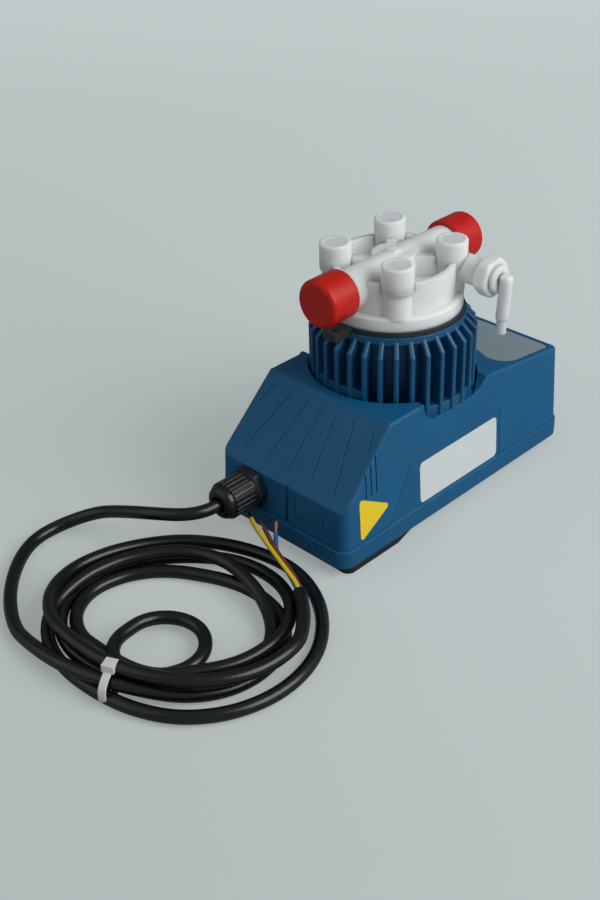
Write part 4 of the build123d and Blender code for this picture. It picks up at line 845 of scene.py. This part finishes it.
# Metals: name, colour, roughness, rings a metre, ring height and brightness of the tarnish.
METALS = {
    "zinc_steel": ("Zinc Plated Steel", (0.62, 0.62, 0.64), 0.34, 1400.0, 0.000006, 0.72),
    "bright_steel": ("Turned Iron", (0.55, 0.55, 0.56), 0.28, 2200.0, 0.000008, 0.66),
    "spring_steel": ("Spring Wire", (0.45, 0.45, 0.47), 0.30, 1500.0, 0.000004, 0.7),
    "brass": ("Turned Brass", (0.72, 0.50, 0.20), 0.28, 1800.0, 0.000008, 0.75),
    "tinned_copper": ("Copper Strands", (0.78, 0.36, 0.17), 0.30, 1200.0, 0.000004, 0.7),
}
FINISHES = {}


def finish_table(finish):
    """Material for every slot of the pump, by slot name."""
    blue, drum = tuple(finish.housing), tuple(finish.drum)
    red, white = tuple(finish.caps), tuple(finish.liquid_end)
    grain = finish.grain
    # The last value of each row is the brightness of the painted highlight on the edges.
    rows = {
        "blue_plastic": ("Blue Housing", blue, 0.50, grain, 0.00005, 0.0009, 0.10, 1.5),
        "blue_cover": ("Blue Cover", shade(blue, 0.94), 0.50, grain, 0.00005, 0.0007, 0.10, 1.5),
        "drum_paint": ("Painted Drum", drum, 0.40, 0.0011, 0.00006, 0.0008, 0.12, 1.9),
        "red_plastic": ("Red Cap", red, 0.40, 0.0008, 0.00003, 0.0012, 0.08, 1.25),
        **MOULDED,
    }
    table = {slot: moulded(*row, **SHADER_VALUES.get(slot, {})) for slot, row in rows.items()}
    table.update({slot: metal(*row) for slot, row in METALS.items()})
    table.update(
        white_pvdf=translucent_white("Head Fluoropolymer", white, 0.40, 0.009),
        cap_white=translucent_white("Screw Cap White", shade(white, 1.03), 0.44, 0.008),
        valve_white=translucent_white("Valve White", shade(white, 1.02), 0.38, 0.008),
        lead_rubber=lead_jacket(),
        copper_wire=copper_winding(),
        green_laminate=circuit_laminate(),
        wire_green_yellow=two_colour_wire(),
    )
    return table


def slot_materials():
    """The finishes by slot, made once."""
    if not FINISHES:
        FINISHES.update(finish_table(bpy.context.scene.pump_finish))
    return FINISHES


def dress(piece, slot):
    """Gives a new piece the finish of its slot."""
    piece.data.materials.clear()
    piece.data.materials.append(slot_materials()[slot])
    return piece


# ---- lead, wires and tie -------------------------------------------------------------------
def build_lead(settings):
    """Lead from the gland to the end of its jacket, coiled on the floor."""
    route = lead_route(settings.points_per_turn)
    lead = smooth_curve("power_lead", route, settings.jacket_radius)
    dress(lead, "lead_rubber")
    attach(lead, BASE)
    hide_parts("power_cord", "cord_coil", "cord_tail")
    return lead


def wire_points(name, lead, settings):
    """Control points of one wire, from the face of the jacket to where its cover ends."""
    angle, points = WIRE_ROUTES[name]
    path = spline_points(lead)
    end, along = Vector(path[-1]), (Vector(path[-1]) - Vector(path[-3])).normalized()
    side, up = square_to(along)
    turned = math.radians(angle)
    offset = (side * math.cos(turned) + up * math.sin(turned)) * settings.wire_radius * WIRE_SPREAD
    start = end + offset
    straight = [start - along * WIRE_INSIDE, start + along * WIRE_STRAIGHT]
    return [*straight, *(mm(*point) for point in points)]


def strand_bundle(name, end, along, settings):
    """Bare end: fine strands that twist slightly and spread towards their tips, as one mesh.

    A strand runs on p(s) = end + s d + r(s) (cos w a + sin w b), where w = start + twist s.
    """
    side, up = (np.array(axis)[None, :] for axis in square_to(along))
    reach = np.linspace(*STRAND_REACH, STRAND_STEPS)
    middle = np.array(end)[None, :] + reach[:, None] * np.array(along)[None, :]
    meshes = []
    rng = np.random.default_rng(len(name))
    for i in range(settings.strands):
        ring = 0.0 if i == 0 else STRAND_RING
        start = 2 * math.pi * i / max(1, settings.strands - 1)
        turn = start + reach * STRAND_TWIST + rng.uniform(-STRAND_SLACK, STRAND_SLACK)
        spread = ring * (1 + np.clip(reach, 0, None) * rng.uniform(*STRAND_FLARE))
        sideways, upwards = spread * np.cos(turn), spread * np.sin(turn)
        path = middle + sideways[:, None] * side + upwards[:, None] * up
        meshes.append(swept_tube(f"{name}_{i}", path, STRAND_RADIUS, STRAND_SIDES))
    return joined(name, meshes)


def build_wires(lead, settings):
    """Three insulated wires with their bare copper ends."""
    wires, ends = [], []
    for name in WIRE_ROUTES:
        points = wire_points(name, lead, settings)
        wire = smooth_curve(name, points, settings.wire_radius, resolution=8)
        dress(wire, WIRE_SLOTS[name])
        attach(wire, BASE)
        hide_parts(WIRE_NODES[name])
        path = spline_points(wire)
        along = (Vector(path[-1]) - Vector(path[-2])).normalized()
        ends.append(strand_bundle(f"{name}_strands", Vector(path[-1]), along, settings))
        wires.append(wire)
    strands = dress(joined("bare_strands", ends), "tinned_copper")
    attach(strands, BASE)
    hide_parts("wire_strands")
    return wires, strands


def build_tie(settings):
    """Cable tie: strap round the bundle with its ratchet head."""
    width, thick = settings.tie_width, settings.tie_thickness
    centre = mm(*TIE_PLACE)
    along = Vector(TIE_ALONG).normalized()
    across = Vector((-along.y, along.x, 0))
    strap = tie_strap(centre, across, along, width, thick)
    head = tie_head(centre + UP * (TIE_HALF[1] + thick), across, along, width)
    tie = dress(joined("cable_tie_band", [strap, head]), "tie_nylon")
    round_edges(tie, TIE_EDGE, 2)
    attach(tie, BASE)
    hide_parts("cable_tie")
    return tie


def tie_strap(centre, across, along, width, thick):
    """Flat strap on a squared ring: x = a cos t (1 - taper max(sin t, 0)), z = b |sin t|^q."""
    angle = np.linspace(0, 2 * np.pi, TIE_SIDES, endpoint=False)
    sine = np.sin(angle)
    x = TIE_HALF[0] * np.cos(angle) * (1.0 - TIE_TAPER * np.maximum(sine, 0.0))
    z = TIE_HALF[1] * np.sign(sine) * np.abs(sine) ** TIE_SQUARENESS
    ring = np.stack([x, z], axis=1)
    outward = ring / np.linalg.norm(ring, axis=1)[:, None]
    corners = ((-width / 2, 1.0), (width / 2, 1.0), (width / 2, 0.0), (-width / 2, 0.0))
    rows = []
    for shift, outer in corners:
        flat = ring + outward * thick * outer
        rows.append(
            np.array(centre)[None, :]
            + flat[:, :1] * np.array(across)[None, :]
            + flat[:, 1:] * np.array(UP)[None, :]
            + shift * np.array(along)[None, :]
        )
    vertices = np.stack(rows, axis=1).reshape(-1, 3)
    faces = grid_faces(TIE_SIDES, len(corners), wrap_rows=True)
    return mesh_piece("tie_strap", vertices, faces)


def tie_head(place, across, along, width):
    """Ratchet head: a small block that the strap runs through."""
    mesh = bmesh.new()
    bmesh.ops.create_cube(mesh, size=1.0)
    size = (TIE_HEAD_LENGTH, width + TIE_HEAD_MARGIN, TIE_HEAD_HEIGHT)
    bmesh.ops.scale(mesh, vec=size, verts=mesh.verts)
    turn = Matrix((across, along, UP)).transposed()
    bmesh.ops.transform(mesh, matrix=turn.to_4x4(), verts=mesh.verts)
    bmesh.ops.translate(mesh, vec=place + UP * TIE_HEAD_RISE, verts=mesh.verts)
    data = bpy.data.meshes.new("tie_head")
    mesh.to_mesh(data)
    mesh.free()
    return linked("tie_head", data)


# ---- stage ---------------------------------------------------------------------------------
def camera_axes(stage):
    """Right, up and back directions of the camera."""
    a, e, roll = stage.azimuth, stage.elevation, stage.roll
    back = Vector((math.sin(a) * math.cos(e), -math.cos(a) * math.cos(e), math.sin(e)))
    right, up = square_to(-back)
    turned_right = right * math.cos(roll) + up * math.sin(roll)
    turned_up = up * math.cos(roll) - right * math.sin(roll)
    return turned_right, turned_up, back


def build_camera(stage):
    """Camera at its set place and angles."""
    data = bpy.data.cameras.new("Camera")
    data.sensor_fit = "VERTICAL"
    data.sensor_height = 36.0
    data.lens = stage.focal_length
    data.clip_start = 0.01
    turn = Matrix(camera_axes(stage)).transposed().to_4x4()
    camera = linked("Camera", data)
    camera.matrix_world = Matrix.Translation(Vector(stage.camera_place) + SHIFT) @ turn
    bpy.context.scene.camera = camera


def area_light(name, place, target, size, power):
    """Soft rectangular light that looks at a point."""
    data = bpy.data.lights.new(name, "AREA")
    data.shape = "RECTANGLE"
    data.size, data.size_y = size
    data.energy = power
    turn = (target - place).to_track_quat("-Z", "Y").to_matrix().to_4x4()
    linked(name, data).matrix_world = Matrix.Translation(place) @ turn


def backdrop_material(stage):
    """Seamless pale grey: lamps light it for shadows; a painted glow, camera rays only, grows with
    depth.
    """
    material = bpy.data.materials.new("Backdrop")
    material.use_nodes = True
    tree = material.node_tree
    shader = tree.nodes["Principled BSDF"]
    shader.inputs["Base Color"].default_value = (*shade(stage.backdrop, BACKDROP_DIFFUSE), 1.0)
    shader.inputs["Roughness"].default_value = 0.75
    shader.inputs["Specular IOR Level"].default_value = 0.2
    shader.inputs["Emission Color"].default_value = (*stage.backdrop, 1.0)
    _, _, back = camera_axes(stage)
    depth = dot_product(tree, object_coordinates(tree), (-back.x, -back.y, 0.0))
    # Painted glow: the backdrop shines more the farther it is, though it is no lamp.
    near = stage.backdrop_glow
    glow = ranged(tree, depth, *GLOW_DEPTHS, near, near + GLOW_RISE)
    seen = tree.nodes.new("ShaderNodeLightPath").outputs["Is Camera Ray"]
    tree.links.new(math_node(tree, "MULTIPLY", seen, glow), shader.inputs["Emission Strength"])
    return material


def build_floor(stage):
    """Floor that curves up into a wall far behind, along (r sin b, r (1 - cos b))."""
    start = FLOOR_BACK - BEND_RADIUS
    profile = [(-FLOOR_REACH, 0.0)]
    for bend in np.linspace(0, np.pi / 2, BEND_STEPS):
        profile.append((start + BEND_RADIUS * math.sin(bend), BEND_RADIUS * (1 - math.cos(bend))))
    profile.append((FLOOR_BACK, WALL_HEIGHT))
    _, _, away = camera_axes(stage)
    ahead = np.array([-away.x, -away.y])
    ahead /= np.linalg.norm(ahead)
    side = np.array([ahead[1], -ahead[0]])
    vertices = [
        (*(ahead * depth + side * offset), height - FLOOR_DROP)
        for depth, height in profile
        for offset in np.linspace(-FLOOR_REACH, FLOOR_REACH, FLOOR_SECTIONS)
    ]
    faces = grid_faces(len(profile), FLOOR_SECTIONS, wrap_columns=False)[:, ::-1]
    floor = mesh_piece("studio_floor", vertices, faces)
    floor.data.materials.append(backdrop_material(stage))


def build_light(stage):
    """Large light at the label's side, a weak fill beyond the lead and a pale sky."""
    target = mm(*LIGHT_TARGET)
    area_light("Key Light", mm(*KEY_PLACE), target, KEY_SIZE, stage.key_power)
    area_light("Fill Light", mm(*FILL_PLACE), target, FILL_SIZE, stage.key_power * stage.fill_share)
    world = bpy.data.worlds.new("Sky")
    bpy.context.scene.world = world
    world.use_nodes = True
    surroundings = world.node_tree.nodes["Background"]
    surroundings.inputs["Color"].default_value = SKY_COLOUR
    surroundings.inputs["Strength"].default_value = stage.sky


# ---- operators -----------------------------------------------------------------------------
class PUMP_OT_finish_nodes(bpy.types.Operator):
    """Gives every CAD part the finish of its slot"""

    bl_idname = "pump.finish_nodes"
    bl_label = "Finish Parts"

    def execute(self, context):
        slots = {part["node"]: part["material_slot"] for part in FRAME["record"]["subparts"]}
        for node, slot in slots.items():
            for piece in node_objects(node):
                piece.data.materials.clear()
                piece.data.materials.append(slot_materials()[slot])
        return {"FINISHED"}


def node_objects(node):
    """Objects of a CAD node."""
    found = [
        piece
        for piece in bpy.data.objects
        if piece.name == node or piece.name.startswith(f"{node}.")
    ]
    if not found:
        raise RuntimeError(f"no object for {node}")
    return found


class PUMP_OT_power_lead(bpy.types.Operator):
    """Builds the mains lead with its wires and its tie"""

    bl_idname = "pump.power_lead"
    bl_label = "Mains Lead"

    def execute(self, context):
        settings = context.scene.pump_lead
        lead = build_lead(settings)
        wires, strands = build_wires(lead, settings)
        tie = build_tie(settings)
        return {"FINISHED"}


class PUMP_OT_stage(bpy.types.Operator):
    """Builds the floor, the lights and the camera"""

    bl_idname = "pump.stage"
    bl_label = "Stage"

    def execute(self, context):
        stage = context.scene.pump_stage
        build_camera(stage)
        build_floor(stage)
        build_light(stage)
        context.scene.view_settings.view_transform = "Standard"
        return {"FINISHED"}


class PUMP_PT_panel(bpy.types.Panel):
    """Sidebar panel with the settings and one button for each step"""

    bl_idname = "PUMP_PT_panel"
    bl_label = "Metering Pump"
    bl_space_type = "VIEW_3D"
    bl_region_type = "UI"
    bl_category = "Pump"

    def draw(self, context):
        layout = self.layout
        groups = (
            ("pump_stage", "pump.stage"),
            ("pump_finish", "pump.finish_nodes"),
            ("pump_lead", "pump.power_lead"),
        )
        for group_name, operator in groups:
            box = layout.box()
            group = getattr(context.scene, group_name)
            for setting in group.bl_rna.properties.keys():
                if setting not in ("rna_type", "name"):
                    box.prop(group, setting)
            box.operator(operator)


CLASSES = (
    LeadSettings,
    FinishSettings,
    StageSettings,
    PUMP_OT_stage,
    PUMP_OT_finish_nodes,
    PUMP_OT_power_lead,
    PUMP_PT_panel,
)
SETTINGS = {
    "pump_lead": LeadSettings,
    "pump_finish": FinishSettings,
    "pump_stage": StageSettings,
}


def register():
    """Adds the classes and the scene's settings."""
    for item in CLASSES:
        bpy.utils.register_class(item)
    for name, group in SETTINGS.items():
        setattr(bpy.types.Scene, name, PointerProperty(type=group))


def unregister():
    """Removes the settings and the classes."""
    for name in SETTINGS:
        delattr(bpy.types.Scene, name)
    for item in reversed(CLASSES):
        bpy.utils.unregister_class(item)


def main():
    """Builds everything in order."""
    register()
    bpy.ops.pump.stage()
    bpy.ops.pump.finish_nodes()
    bpy.ops.pump.power_lead()


if __name__ == "__main__":
    main()
